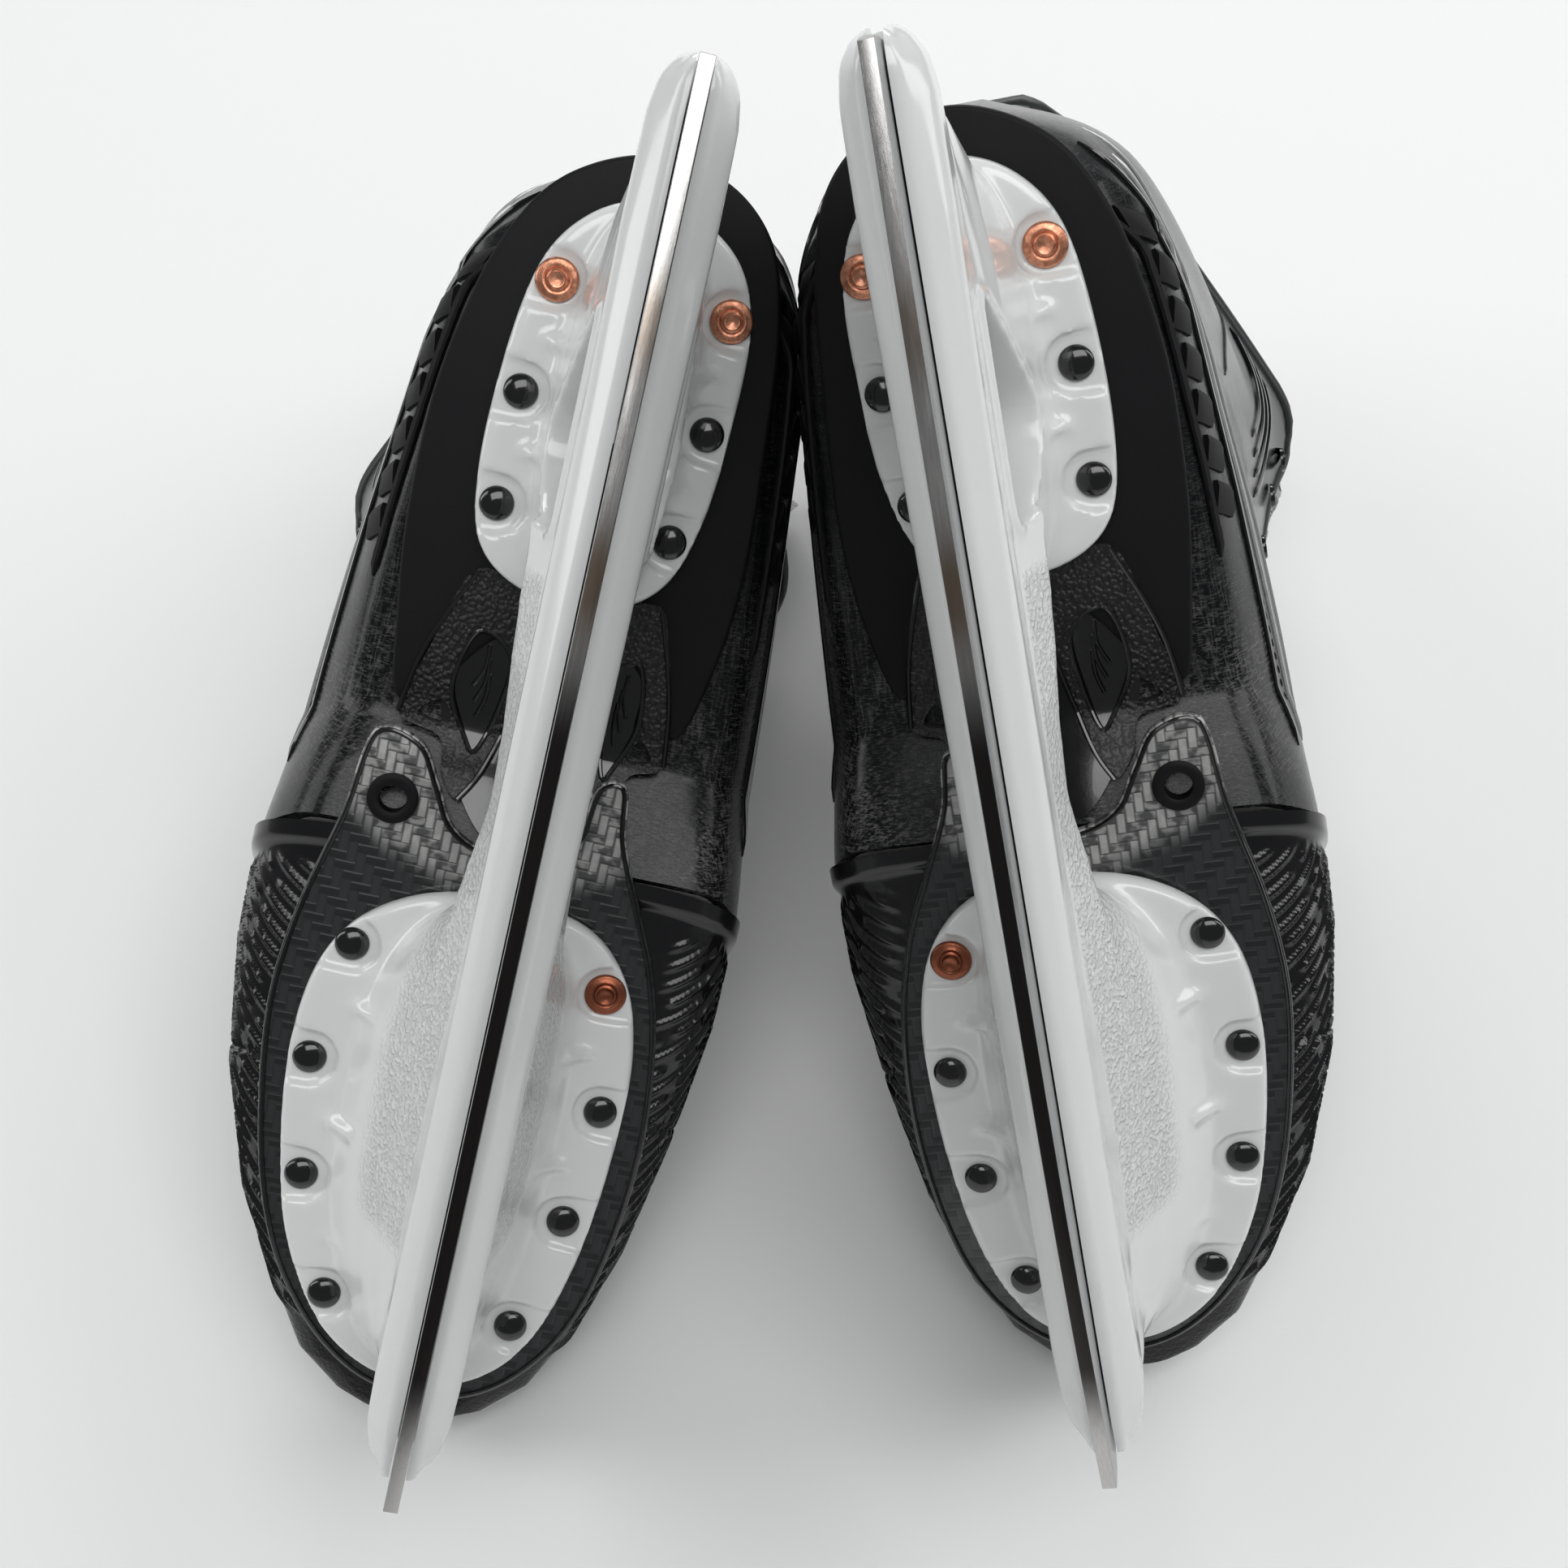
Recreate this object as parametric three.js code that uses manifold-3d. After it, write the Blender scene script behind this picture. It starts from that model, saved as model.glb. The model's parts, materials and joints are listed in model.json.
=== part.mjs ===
// A pair of ice hockey skates lying upside down, blades up, each resting on its toe cap and tongue.
// Each skate is built upright in its own frame and then laid down: +X to the toe from the steel's heel tip,
// +Y to the outside of the foot, +Z up from the ice. The right skate is the left one mirrored across Y.
import * as THREE from "three";
import { mergeVertices } from "three/addons/utils/BufferGeometryUtils.js";
import Module from "manifold-3d";

const wasm = await Module();
wasm.setup();

// ---------------------------------------------------------------- driving dimensions, in millimetres
const FIT = 0.3; // gap between pieces that touch
const RUNNING = 0.4; // gap beside pieces that turn

const STEEL_LENGTH = 283;
const STEEL_THICKNESS = 2.9;
const STEEL_HEIGHT = 28; // from the ice to the steel's upper edge
const HEEL_RISE = 5.7; // how far the rocker lifts the heel tip and the toe tip off the ice
const TOE_RISE = 8.3;
const FLAT_START = 95; // the flat facet of the rocker
const FLAT_END = 190;

const RAIL_BOTTOM = 13.5; // height of the holder's lower edge
const RAIL_HALF = 8.5; // half of the holder's width along the rail
const LIP_HALF = 3.6; // half of its width at the lower edge
const BRIDGE_TOP = 40; // top of the bridge between the two towers
const FORE_PAD = 62; // height of the forefoot pad's lower face
const HEEL_PAD = 72; // height of the heel pad's lower face
const PAD_THICKNESS = 4;
const PLATE_THICKNESS = 2.5; // carbon forefoot plate, heel outsole and shank

const SHELL_WALL = 3;
const LINER_WALL = 5;
const TOE_CAP_WALL = 3;
const BOOT_LENGTH = 298; // from the steel's heel tip to the front of the toe cap
const ANKLE_HALF = 66; // half of the boot's width at the top of the facings
const BALL_HALF = 58; // half of the boot's width at the ball of the foot
const INSOLE = 3;
const RAISE = 2; // how far the insole lies above the toe cap's floor
const TONGUE_THICKNESS = 8;
const LACE_DIAMETER = 4;

const RIVET_HOLE = 2.1; // radius in pads and plates
const RIVET_HEAD = 3.65;
const COPPER_WASHER = 4.5;
const PIN_RADIUS = 1.5;

// heights that follow from the stack of pads and plates
const FORE_SOLE = FORE_PAD + PAD_THICKNESS + FIT + PLATE_THICKNESS + FIT;
const HEEL_SOLE = HEEL_PAD + PAD_THICKNESS + FIT + PLATE_THICKNESS + FIT;
const SLOT_HALF = STEEL_THICKNESS / 2 + FIT;
const SLOT_TOP = STEEL_HEIGHT + RUNNING;

// the runner turns on a round hook near its front, and its rear tang is held by the trigger
const HOOK = { x: STEEL_LENGTH - 21, z: STEEL_HEIGHT + 6, r: 5 };
const TANG = { x: 56, width: 9, z: STEEL_HEIGHT + 12, lean: 1.6 };
const POCKET = { rear: TANG.x - 1, front: 101, half: 6, floor: STEEL_HEIGHT + 3, roof: HEEL_PAD - 5 };
const PIVOT = { x: TANG.x + 20, z: HEEL_PAD - 11 };

// where each rivet goes: x and y, with copper ones for the first three
const RIVETS = {
  copper_heel_outer: { x: 42.8, y: 19.2, z: HEEL_PAD },
  copper_heel_inner: { x: 42.8, y: -17.1, z: HEEL_PAD },
  copper_fore_inner: { x: 186.3, y: -22, z: FORE_PAD },
  rivet_heel_outer_1: { x: 66.3, y: 21.8, z: HEEL_PAD },
  rivet_heel_outer_2: { x: 89.8, y: 22, z: HEEL_PAD },
  rivet_heel_inner_1: { x: 66.3, y: -17.3, z: HEEL_PAD },
  rivet_heel_inner_2: { x: 89.8, y: -14.6, z: HEEL_PAD },
  rivet_fore_outer_1: { x: 186.3, y: 32.5, z: FORE_PAD },
  rivet_fore_outer_2: { x: 212.9, y: 36.6, z: FORE_PAD },
  rivet_fore_outer_3: { x: 239.5, y: 33.5, z: FORE_PAD },
  rivet_fore_outer_4: { x: 266.2, y: 23.6, z: FORE_PAD },
  rivet_fore_inner_1: { x: 212.9, y: -26.6, z: FORE_PAD },
  rivet_fore_inner_2: { x: 239.5, y: -24, z: FORE_PAD },
  rivet_fore_inner_3: { x: 266.2, y: -17.8, z: FORE_PAD },
};
const GROMMET = { x: 154.5, y: 30.5, r: 5.4, bore: 3, barrel: 4 };

// outlines seen from above, toe at +X and the outside of the foot at +Y
const FORE_PAD_OUTLINE = [
  [171, 12], [178, 29], [191, 38.5], [211, 41.3], [235, 39], [255, 34], [273, 24], [283, 9],
  [282.5, -9], [271, -22], [250, -28.7], [225, -31.4], [200, -31], [182, -25], [172, -12],
];
const FORE_PLATE_OUTLINE = [
  [141, 37], [141.5, 27], [150, 21.5], [158, 17], [162, 9], [162, -3], [155, -9], [143.5, -11],
  [142, -17], [154, -19.5], [167, -25], [182, -31.5], [200, -36], [222, -38], [245, -36.5],
  [266, -31.5], [281, -22], [289, -9], [289, 8], [281, 22], [266, 34], [248, 41.5], [226, 46],
  [203, 48], [182, 45.8], [160, 40.5],
];
const HEEL_PAD_OUTLINE = [
  [23, 2], [26, 12], [33.5, 20], [44, 24.4], [62, 26.8], [82, 27.3], [97, 24.8], [105, 17],
  [108, 4], [105, -9], [97, -17], [82, -21], [62, -22.2], [44, -21.6], [32, -17], [25, -8],
];
const HEEL_PLATE_OUTLINE = [
  [14, 2], [16.5, 13], [23.5, 23.5], [34, 30.5], [48, 35.5], [70, 39.5], [96, 40], [118, 38], [135, 34.8],
  [130, 26], [119, 17], [113, 6], [113, -6], [119, -14], [132, -25], [114, -30.5], [92, -32],
  [62, -30], [42, -27.7], [26, -22.5], [16.5, -12],
];

// The boot's shell: each station is a slice from a point on the sole or the back to a point on the facing's
// edge, both x and z, with half-widths on the flat, at the widest place and at the facing.
const inner = { fore: 0.84, ankle: 0.86 }; // how much narrower the inner side of the boot is
const STATIONS = [
  { back: [162, FORE_SOLE + 0.8], face: [204, 138],
    corner: 0.05, full: 0.62, flat: 39, wide: BALL_HALF, at: 0.38, edge: 36 },
  { back: [150, FORE_SOLE + 5], face: [192, 152],
    corner: 0.05, full: 0.62, flat: 36, wide: BALL_HALF - 1, at: 0.38, edge: 38 },
  { back: [139, HEEL_SOLE], face: [178, 168],
    corner: 0.05, full: 0.62, flat: 32, wide: BALL_HALF - 2, at: 0.4, edge: 41 },
  { back: [90, HEEL_SOLE], face: [164, 184],
    corner: 0.06, full: 0.62, flat: 30, wide: ANKLE_HALF - 12, at: 0.45, edge: ANKLE_HALF - 19 },
  { back: [45, HEEL_SOLE], face: [152, 199],
    corner: 0.09, full: 0.62, flat: 26, wide: ANKLE_HALF - 14, at: 0.55, edge: ANKLE_HALF - 15 },
  { back: [20, HEEL_SOLE + 6], face: [142, 212],
    corner: 0.15, full: 0.62, flat: 12, wide: ANKLE_HALF - 12, at: 0.65, edge: ANKLE_HALF - 11 },
  { back: [15, HEEL_SOLE + 32], face: [134, 222],
    corner: 0.16, full: 0.62, flat: 8, wide: ANKLE_HALF - 10, at: 0.7, edge: ANKLE_HALF - 8 },
  { back: [17, HEEL_SOLE + 70], face: [129, 229],
    corner: 0.18, full: 0.52, flat: 8, wide: ANKLE_HALF - 8, at: 0.75, edge: ANKLE_HALF - 5 },
  { back: [19, HEEL_SOLE + 110], face: [125, 235],
    corner: 0.22, full: 0.45, flat: 9, wide: ANKLE_HALF - 5, at: 0.8, edge: ANKLE_HALF - 2 },
  { back: [20, HEEL_SOLE + 142], face: [120, 240],
    corner: 0.26, full: 0.42, flat: 10, wide: ANKLE_HALF - 2, at: 0.85, edge: ANKLE_HALF },
];
const LAST_LACED = 2.55; // station where the lacing stops and the free tongue starts

// ---------------------------------------------------------------- materials
const finish = (color, roughness, metalness) =>
  new THREE.MeshStandardMaterial({ color, roughness, metalness });
const materials = {
  white: finish(0xf2f2ee, 0.22, 0),
  steel: finish(0xb8b4ac, 0.25, 1),
  copper: finish(0xc87a55, 0.3, 1),
  rivet: finish(0x050505, 0.12, 0.3),
  shell: finish(0x1a1b1c, 0.25, 0),
  carbon: finish(0x34383b, 0.18, 0.2),
  outsole: finish(0x0c0c0e, 0.6, 0),
  cap: finish(0x0a0a0b, 0.3, 0),
  felt: finish(0xd9d6cf, 0.9, 0),
  lining: finish(0x2a2b2c, 0.95, 0),
  lace: finish(0x101010, 0.85, 0),
};

// ---------------------------------------------------------------- solids
function solid(geometry) {
  const bare = geometry.clone();
  bare.deleteAttribute("normal");
  bare.deleteAttribute("uv");
  const merged = mergeVertices(bare, 1e-4);
  return new wasm.Manifold(
    new wasm.Mesh({
      numProp: 3,
      vertProperties: merged.attributes.position.array,
      triVerts: new Uint32Array(merged.index.array),
    }),
  );
}

function geometryOf(made) {
  const mesh = made.getMesh();
  const geometry = new THREE.BufferGeometry();
  geometry.setAttribute("position", new THREE.BufferAttribute(mesh.vertProperties, 3));
  geometry.setIndex(new THREE.BufferAttribute(mesh.triVerts, 1));
  geometry.computeVertexNormals();
  return geometry;
}

const join = (...parts) => parts.reduce((sum, part) => sum.add(part));

function box(x0, x1, y0, y1, z0, z1) {
  const shape = new THREE.BoxGeometry(x1 - x0, y1 - y0, z1 - z0);
  return solid(shape.translate((x0 + x1) / 2, (y0 + y1) / 2, (z0 + z1) / 2));
}

// an upright round bar
function bar(x, y, radius, z0, z1, sides = 8) {
  const shape = new THREE.CylinderGeometry(radius, radius, z1 - z0, sides).rotateX(Math.PI / 2);
  return solid(shape.translate(x, y, (z0 + z1) / 2));
}

// a round bar across the skate
function crossBar(x, z, radius, y0, y1, sides = 16) {
  const shape = new THREE.CylinderGeometry(radius, radius, y1 - y0, sides);
  return solid(shape.translate(x, (y0 + y1) / 2, z));
}

// an outline in x and y, raised between two heights
function plate(outline, low, high, samples = 0) {
  let points = outline.map(([x, y]) => new THREE.Vector3(x, y, 0));
  if (samples) {
    const smooth = new THREE.CatmullRomCurve3(points, true, "centripetal");
    points = smooth.getPoints(samples).slice(0, -1);
  }
  const shape = new THREE.Shape(points.map((p) => new THREE.Vector2(p.x, p.y)));
  const raised = new THREE.ExtrudeGeometry(shape, { depth: high - low, bevelEnabled: false });
  return solid(raised.translate(0, 0, low));
}

// an outline in x and z, as thick as twice `half` across the skate
function profile(outline, half, middle = 0) {
  const shape = new THREE.Shape(outline.map(([x, z]) => new THREE.Vector2(x, z)));
  const raised = new THREE.ExtrudeGeometry(shape, { depth: 2 * half, bevelEnabled: false });
  return solid(raised.rotateX(Math.PI / 2).translate(0, middle + half, 0));
}

// A skin over a row of rings, closed at both ends. A ring has `flat` points in its own plane and the same
// points in space. A skin that comes out facing inwards is turned round.
function loft(rings) {
  const count = rings[0].space.length;
  const positions = rings.flatMap((ring) => ring.space.flatMap((p) => [p.x, p.y, p.z]));
  const index = [];
  for (let i = 0; i + 1 < rings.length; i++)
    for (let j = 0; j < count; j++) {
      const a = i * count + j;
      const b = i * count + ((j + 1) % count);
      index.push(a, b, b + count, a, b + count, a + count);
    }
  const cap = THREE.ShapeUtils.triangulateShape(rings[0].flat, []);
  const turned = THREE.ShapeUtils.isClockWise(rings[0].flat);
  const last = (rings.length - 1) * count;
  for (const [a, b, c] of cap) {
    index.push(...(turned ? [a, b, c] : [c, b, a]));
    index.push(...(turned ? [c + last, b + last, a + last] : [a + last, b + last, c + last]));
  }
  const geometry = new THREE.BufferGeometry();
  geometry.setAttribute("position", new THREE.Float32BufferAttribute(positions, 3));
  geometry.setIndex(index);
  const made = solid(geometry);
  if (made.volume() > 0) return made;
  for (let i = 0; i < index.length; i += 3) [index[i], index[i + 1]] = [index[i + 1], index[i]];
  geometry.setIndex(index);
  return solid(geometry);
}

const lerp = THREE.MathUtils.lerp;
const mix = (a, b, t) => a.map((value, i) => lerp(value, b[i], t));

// a level oval ring with its own half-width on the outer and on the inner side
function oval(rear, front, outer, innerSide, z, power = 2.3, count = 20) {
  const flat = [];
  for (let i = 0; i < count; i++) {
    const turn = (i / count) * Math.PI * 2;
    const c = Math.cos(turn);
    const s = Math.sin(turn);
    const x = (rear + front) / 2 + ((front - rear) / 2) * Math.sign(c) * Math.abs(c) ** (2 / power);
    const y = (s > 0 ? outer : innerSide) * Math.sign(s) * Math.abs(s) ** (2 / power);
    flat.push(new THREE.Vector2(x, y));
  }
  return { flat, space: flat.map((p) => new THREE.Vector3(p.x, p.y, z)) };
}

// ---------------------------------------------------------------- runner and holder
function steelOutline() {
  const points = [];
  for (let i = 0; i <= 4; i++) {
    const x = (FLAT_START * i) / 4;
    points.push([x, HEEL_RISE * (1 - i / 4) ** 2]);
  }
  for (let i = 0; i <= 4; i++) {
    const x = lerp(FLAT_END, STEEL_LENGTH, i / 4);
    points.push([x, TOE_RISE * (i / 4) ** 2]);
  }
  points.push([STEEL_LENGTH, TOE_RISE + 4], [STEEL_LENGTH - 5, STEEL_HEIGHT - 8]);
  points.push([STEEL_LENGTH - 10, STEEL_HEIGHT]);
  for (let i = 0; i <= 8; i++) {
    const turn = lerp(-0.2, 1.2, i / 8) * Math.PI;
    points.push([HOOK.x + HOOK.r * Math.cos(turn), HOOK.z + HOOK.r * Math.sin(turn)]);
  }
  points.push([HOOK.x - 4, STEEL_HEIGHT], [TANG.x + TANG.width, STEEL_HEIGHT]);
  points.push([TANG.x + TANG.width + TANG.lean, TANG.z], [TANG.x + 3, TANG.z], [TANG.x, STEEL_HEIGHT]);
  points.push([8, STEEL_HEIGHT], [1, STEEL_HEIGHT - 8]);
  return points;
}

function runner() {
  return profile(steelOutline(), STEEL_THICKNESS / 2);
}

function railRing([x, bottom, half, top, lip]) {
  const flat = [
    [-lip, bottom], [lip, bottom], [half, bottom + 0.35 * (top - bottom)], [half, top],
    [-half, top], [-half, bottom + 0.35 * (top - bottom)],
  ].map(([y, z]) => new THREE.Vector2(y, z));
  return { flat, space: flat.map((p) => new THREE.Vector3(x, p.x, p.y)) };
}

function holder() {
  const rail = loft(
    [
      [-1.4, RAIL_BOTTOM + 1, 3.4, RAIL_BOTTOM + 9, 2],
      [1, RAIL_BOTTOM - 0.5, 6.4, RAIL_BOTTOM + 14, 3],
      [8, RAIL_BOTTOM, 8, RAIL_BOTTOM + 18, LIP_HALF],
      [30, RAIL_BOTTOM, RAIL_HALF + 0.5, BRIDGE_TOP - 4, LIP_HALF],
      [80, RAIL_BOTTOM, RAIL_HALF, BRIDGE_TOP, LIP_HALF],
      [112, RAIL_BOTTOM, RAIL_HALF + 1.5, BRIDGE_TOP + 3, LIP_HALF],
      [142, RAIL_BOTTOM, RAIL_HALF + 1, BRIDGE_TOP, LIP_HALF],
      [170, RAIL_BOTTOM, RAIL_HALF + 2, BRIDGE_TOP + 3, LIP_HALF],
      [HOOK.x - 42, RAIL_BOTTOM, RAIL_HALF, BRIDGE_TOP, LIP_HALF],
      [HOOK.x, RAIL_BOTTOM + 0.3, RAIL_HALF + 0.5, BRIDGE_TOP, LIP_HALF],
      [STEEL_LENGTH - 8, RAIL_BOTTOM + 1, RAIL_HALF - 0.5, BRIDGE_TOP, LIP_HALF],
      [STEEL_LENGTH - 2.5, RAIL_BOTTOM + 3, RAIL_HALF - 3.2, BRIDGE_TOP - 8, LIP_HALF],
    ].map(railRing),
  );
  const heelTower = loft([
    oval(4, 116, RAIL_HALF, RAIL_HALF, BRIDGE_TOP - 14),
    oval(12, 118, 11, 10, BRIDGE_TOP + 4),
    oval(22, 112, 14, 12, HEEL_PAD - 10),
    oval(27, 108, 16, 13.5, HEEL_PAD + 0.5),
  ]);
  const toeTower = loft([
    oval(166, HOOK.x + 15, RAIL_HALF, RAIL_HALF, BRIDGE_TOP - 12),
    oval(164, HOOK.x + 15, 13, 11, BRIDGE_TOP + 4),
    oval(170, HOOK.x + 14, 21, 15, FORE_PAD - 8),
    oval(175, HOOK.x + 14, 28.5, 18.5, FORE_PAD + 0.5),
  ]);
  const pads = join(
    plate(FORE_PAD_OUTLINE, FORE_PAD, FORE_PAD + PAD_THICKNESS, 28),
    plate(HEEL_PAD_OUTLINE, HEEL_PAD, HEEL_PAD + PAD_THICKNESS, 28),
  );
  let body = join(rail, heelTower, toeTower, pads);
  const slot = box(-RUNNING, STEEL_LENGTH + 9, -SLOT_HALF, SLOT_HALF, -5, SLOT_TOP);
  const hookRoom = join(
    crossBar(HOOK.x, HOOK.z, HOOK.r + RUNNING, -SLOT_HALF, SLOT_HALF),
    box(HOOK.x - HOOK.r - RUNNING, HOOK.x + HOOK.r + RUNNING, -SLOT_HALF, SLOT_HALF, 10, HOOK.z),
    box(HOOK.x, STEEL_LENGTH + 9, -SLOT_HALF, SLOT_HALF, 5, SLOT_TOP + 3),
  );
  const tangRoom = box(TANG.x - 1, TANG.x + TANG.width + 4.5, -SLOT_HALF, SLOT_HALF, 20, TANG.z + 2);
  const pocket = box(POCKET.rear, POCKET.front, -POCKET.half, POCKET.half, POCKET.floor, POCKET.roof);
  const windowHole = profile(
    [[45, 31], [87, 31], [90, 37], [86, 48], [76, 57], [68, 57]],
    RAIL_HALF * 3,
  );
  const pinHole = crossBar(PIVOT.x, PIVOT.z, PIN_RADIUS + FIT, -9.5, 9.5);
  for (const cut of [slot, hookRoom, tangRoom, pocket, windowHole, pinHole]) body = body.subtract(cut);
  for (const { x, y, z } of Object.values(RIVETS)) {
    body = body.subtract(bar(x, y, RIVET_HOLE, z - 6, z + PAD_THICKNESS + 1));
    body = body.subtract(bar(x, y, COPPER_WASHER + 0.6, z - 12, z - 0.01));
  }
  return body;
}

function trigger() {
  const nose = TANG.x + TANG.width + RUNNING;
  const low = POCKET.floor + 2.2;
  const undercut = (TANG.lean * (low - STEEL_HEIGHT)) / (TANG.z - STEEL_HEIGHT);
  const thumb = PIVOT.x + 15;
  const outline = [
    [nose + undercut + 0.1, low], [PIVOT.x + 8, POCKET.floor + 1.6], [thumb, POCKET.floor + 5],
    [thumb, POCKET.floor + 9], [PIVOT.x + 6, POCKET.floor + 8], [PIVOT.x + 4, PIVOT.z - 1],
    [PIVOT.x + 3, PIVOT.z + 3], [PIVOT.x, PIVOT.z + 4.2], [PIVOT.x - 4, PIVOT.z + 2],
    [PIVOT.x - 5, PIVOT.z - 8], [nose + TANG.lean + 0.1, TANG.z],
  ];
  const lever = profile(outline, 3.5, -2);
  return lever.subtract(crossBar(PIVOT.x, PIVOT.z, PIN_RADIUS + FIT, -9, 9));
}

function triggerPin() {
  return crossBar(PIVOT.x, PIVOT.z, PIN_RADIUS, -9.2, 9.2, 12);
}

function triggerSpring() {
  const [low, high] = [1.8, 5.6];
  return crossBar(PIVOT.x, PIVOT.z, PIN_RADIUS + 1.6, low, high, 14).subtract(
    crossBar(PIVOT.x, PIVOT.z, PIN_RADIUS + FIT, low - 1, high + 1, 14),
  );
}

// ---------------------------------------------------------------- rivets and grommet
// a profile of radii and heights, turned about an upright axis
function lathe(points, sides) {
  const line = points.map(([r, z]) => new THREE.Vector2(r, z));
  return solid(new THREE.LatheGeometry(line, sides).rotateX(Math.PI / 2));
}

const RIVET_REACH = PAD_THICKNESS + FIT + PLATE_THICKNESS - 0.2;
const RIVET_STEM = RIVET_HOLE - 0.35;
const WASHER_FACE = -1.3; // height of a washer's outer face below the pad or plate

function blackRivet() {
  const r = RIVET_HEAD;
  const head = [[0, -2], [0.55 * r, -1.6], [0.9 * r, -0.9], [r, -FIT]];
  return lathe([...head, [RIVET_STEM, -FIT], [RIVET_STEM, RIVET_REACH], [0, RIVET_REACH]], 8);
}

function copperRivet() {
  const r = COPPER_WASHER;
  const post = [[0, -3.2], [RIVET_STEM, -3.2], [RIVET_STEM, WASHER_FACE]];
  const washer = [[r, WASHER_FACE], [r, -FIT], [RIVET_STEM, -FIT]];
  return lathe([...post, ...washer, [RIVET_STEM, RIVET_REACH], [0, RIVET_REACH]], 8);
}

function grommet() {
  const { r, bore, barrel } = GROMMET;
  const flange = [[bore, WASHER_FACE], [r, WASHER_FACE], [r, -FIT], [barrel, -FIT]];
  return lathe([...flange, [barrel, PLATE_THICKNESS], [bore, PLATE_THICKNESS], [bore, WASHER_FACE]], 14);
}

// ---------------------------------------------------------------- plates under the boot
function drilled(body, z) {
  for (const rivet of Object.values(RIVETS))
    if (rivet.z === z) body = body.subtract(bar(rivet.x, rivet.y, RIVET_HOLE, z, z + PAD_THICKNESS * 3));
  return body;
}

function forePlate() {
  const low = FORE_PAD + PAD_THICKNESS + FIT;
  const body = drilled(plate(FORE_PLATE_OUTLINE, low, low + PLATE_THICKNESS, 40), FORE_PAD);
  const bore = GROMMET.barrel + FIT;
  return body.subtract(bar(GROMMET.x, GROMMET.y, bore, low - 1, low + PLATE_THICKNESS + 1, 14));
}

function heelPlate() {
  const low = HEEL_PAD + PAD_THICKNESS + FIT;
  return drilled(plate(HEEL_PLATE_OUTLINE, low, low + PLATE_THICKNESS, 32), HEEL_PAD);
}

function shank() {
  const front = STATIONS[1].back;
  const knee = STATIONS[2].back;
  const plateFront = HEEL_PLATE_OUTLINE.filter(([, y]) => Math.abs(y) < 18).map(([x]) => x);
  const rear = [Math.max(...plateFront) + 2, knee[1]];
  const top = [rear, knee, front].map(([x, z]) => [x, z - FIT]);
  const below = top.map(([x, z]) => [x, z - PLATE_THICKNESS]).reverse();
  const body = profile([...top, ...below], 12, 4);
  return body.subtract(box(rear[0] + 9, front[0] - 7, 0, 8, 0, rear[1] + 5));
}

// ---------------------------------------------------------------- shell and liner
// the station at a place between two of the listed ones
function station(place) {
  const i = Math.min(Math.floor(place), STATIONS.length - 2);
  const t = place - i;
  const [a, b] = [STATIONS[i], STATIONS[i + 1]];
  const side = lerp(inner.fore, inner.ankle, place / (STATIONS.length - 1));
  return {
    back: mix(a.back, b.back, t),
    face: mix(a.face, b.face, t),
    corner: lerp(a.corner, b.corner, t),
    full: lerp(a.full, b.full, t),
    flat: lerp(a.flat, b.flat, t),
    wide: lerp(a.wide, b.wide, t),
    at: lerp(a.at, b.at, t),
    edge: lerp(a.edge, b.edge, t),
    side,
  };
}

// the slice's outer line on one side: distance along the slice and half-width
function outerLine(cut) {
  const reach = Math.hypot(cut.face[0] - cut.back[0], cut.face[1] - cut.back[1]);
  const { corner, full, flat, wide, at, edge } = cut;
  const shares = [[0, flat], [corner, lerp(flat, wide, full)], [at, wide], [1, edge]];
  const curve = new THREE.SplineCurve(shares.map(([s, y]) => new THREE.Vector2(s * reach, y)));
  const points = curve.getPoints(6);
  for (const p of points) p.x = Math.max(p.x, 0);
  return [new THREE.Vector2(0, 0), ...points];
}

// the same line moved inwards by a distance
function inset(line, depth, reach) {
  return line.map((p, i) => {
    const before = line[Math.max(i - 1, 0)];
    const after = line[Math.min(i + 1, line.length - 1)];
    const along = after.clone().sub(before).normalize();
    const moved = new THREE.Vector2(p.x + along.y * depth, p.y - along.x * depth);
    if (i === 0) moved.set(depth, 0);
    if (i === line.length - 1) moved.set(reach, p.y - depth);
    moved.x = Math.min(moved.x, reach);
    return moved;
  });
}

function slicePoint(cut, s, y) {
  const along = new THREE.Vector2(cut.face[0] - cut.back[0], cut.face[1] - cut.back[1]).normalize();
  return new THREE.Vector3(cut.back[0] + along.x * s, y, cut.back[1] + along.y * s);
}

// A ring round the boot's wall between two depths. Neighbouring walls are gone round in opposite directions,
// so that the faces that meet are split along the same diagonals.
function wallRing(place, outerDepth, innerDepth, turned = false) {
  const cut = station(place);
  const line = outerLine(cut);
  const reach = line.at(-1).x;
  const flat = [];
  for (const depth of [outerDepth, innerDepth]) {
    const half = depth ? inset(line, depth, reach) : line;
    const outside = half.map((p) => new THREE.Vector2(p.x, p.y)).reverse();
    const inside = half.slice(1).map((p) => new THREE.Vector2(p.x, -p.y * cut.side));
    const open = [...outside, ...inside];
    flat.push(...(depth === innerDepth ? open.reverse() : open));
  }
  if (turned) flat.reverse();
  return { flat, space: flat.map((p) => slicePoint(cut, p.x, p.y)) };
}

const PLACES = STATIONS.map((_, i) => i);

function shell() {
  return loft(PLACES.map((place) => wallRing(place, 0, SHELL_WALL)));
}

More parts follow.
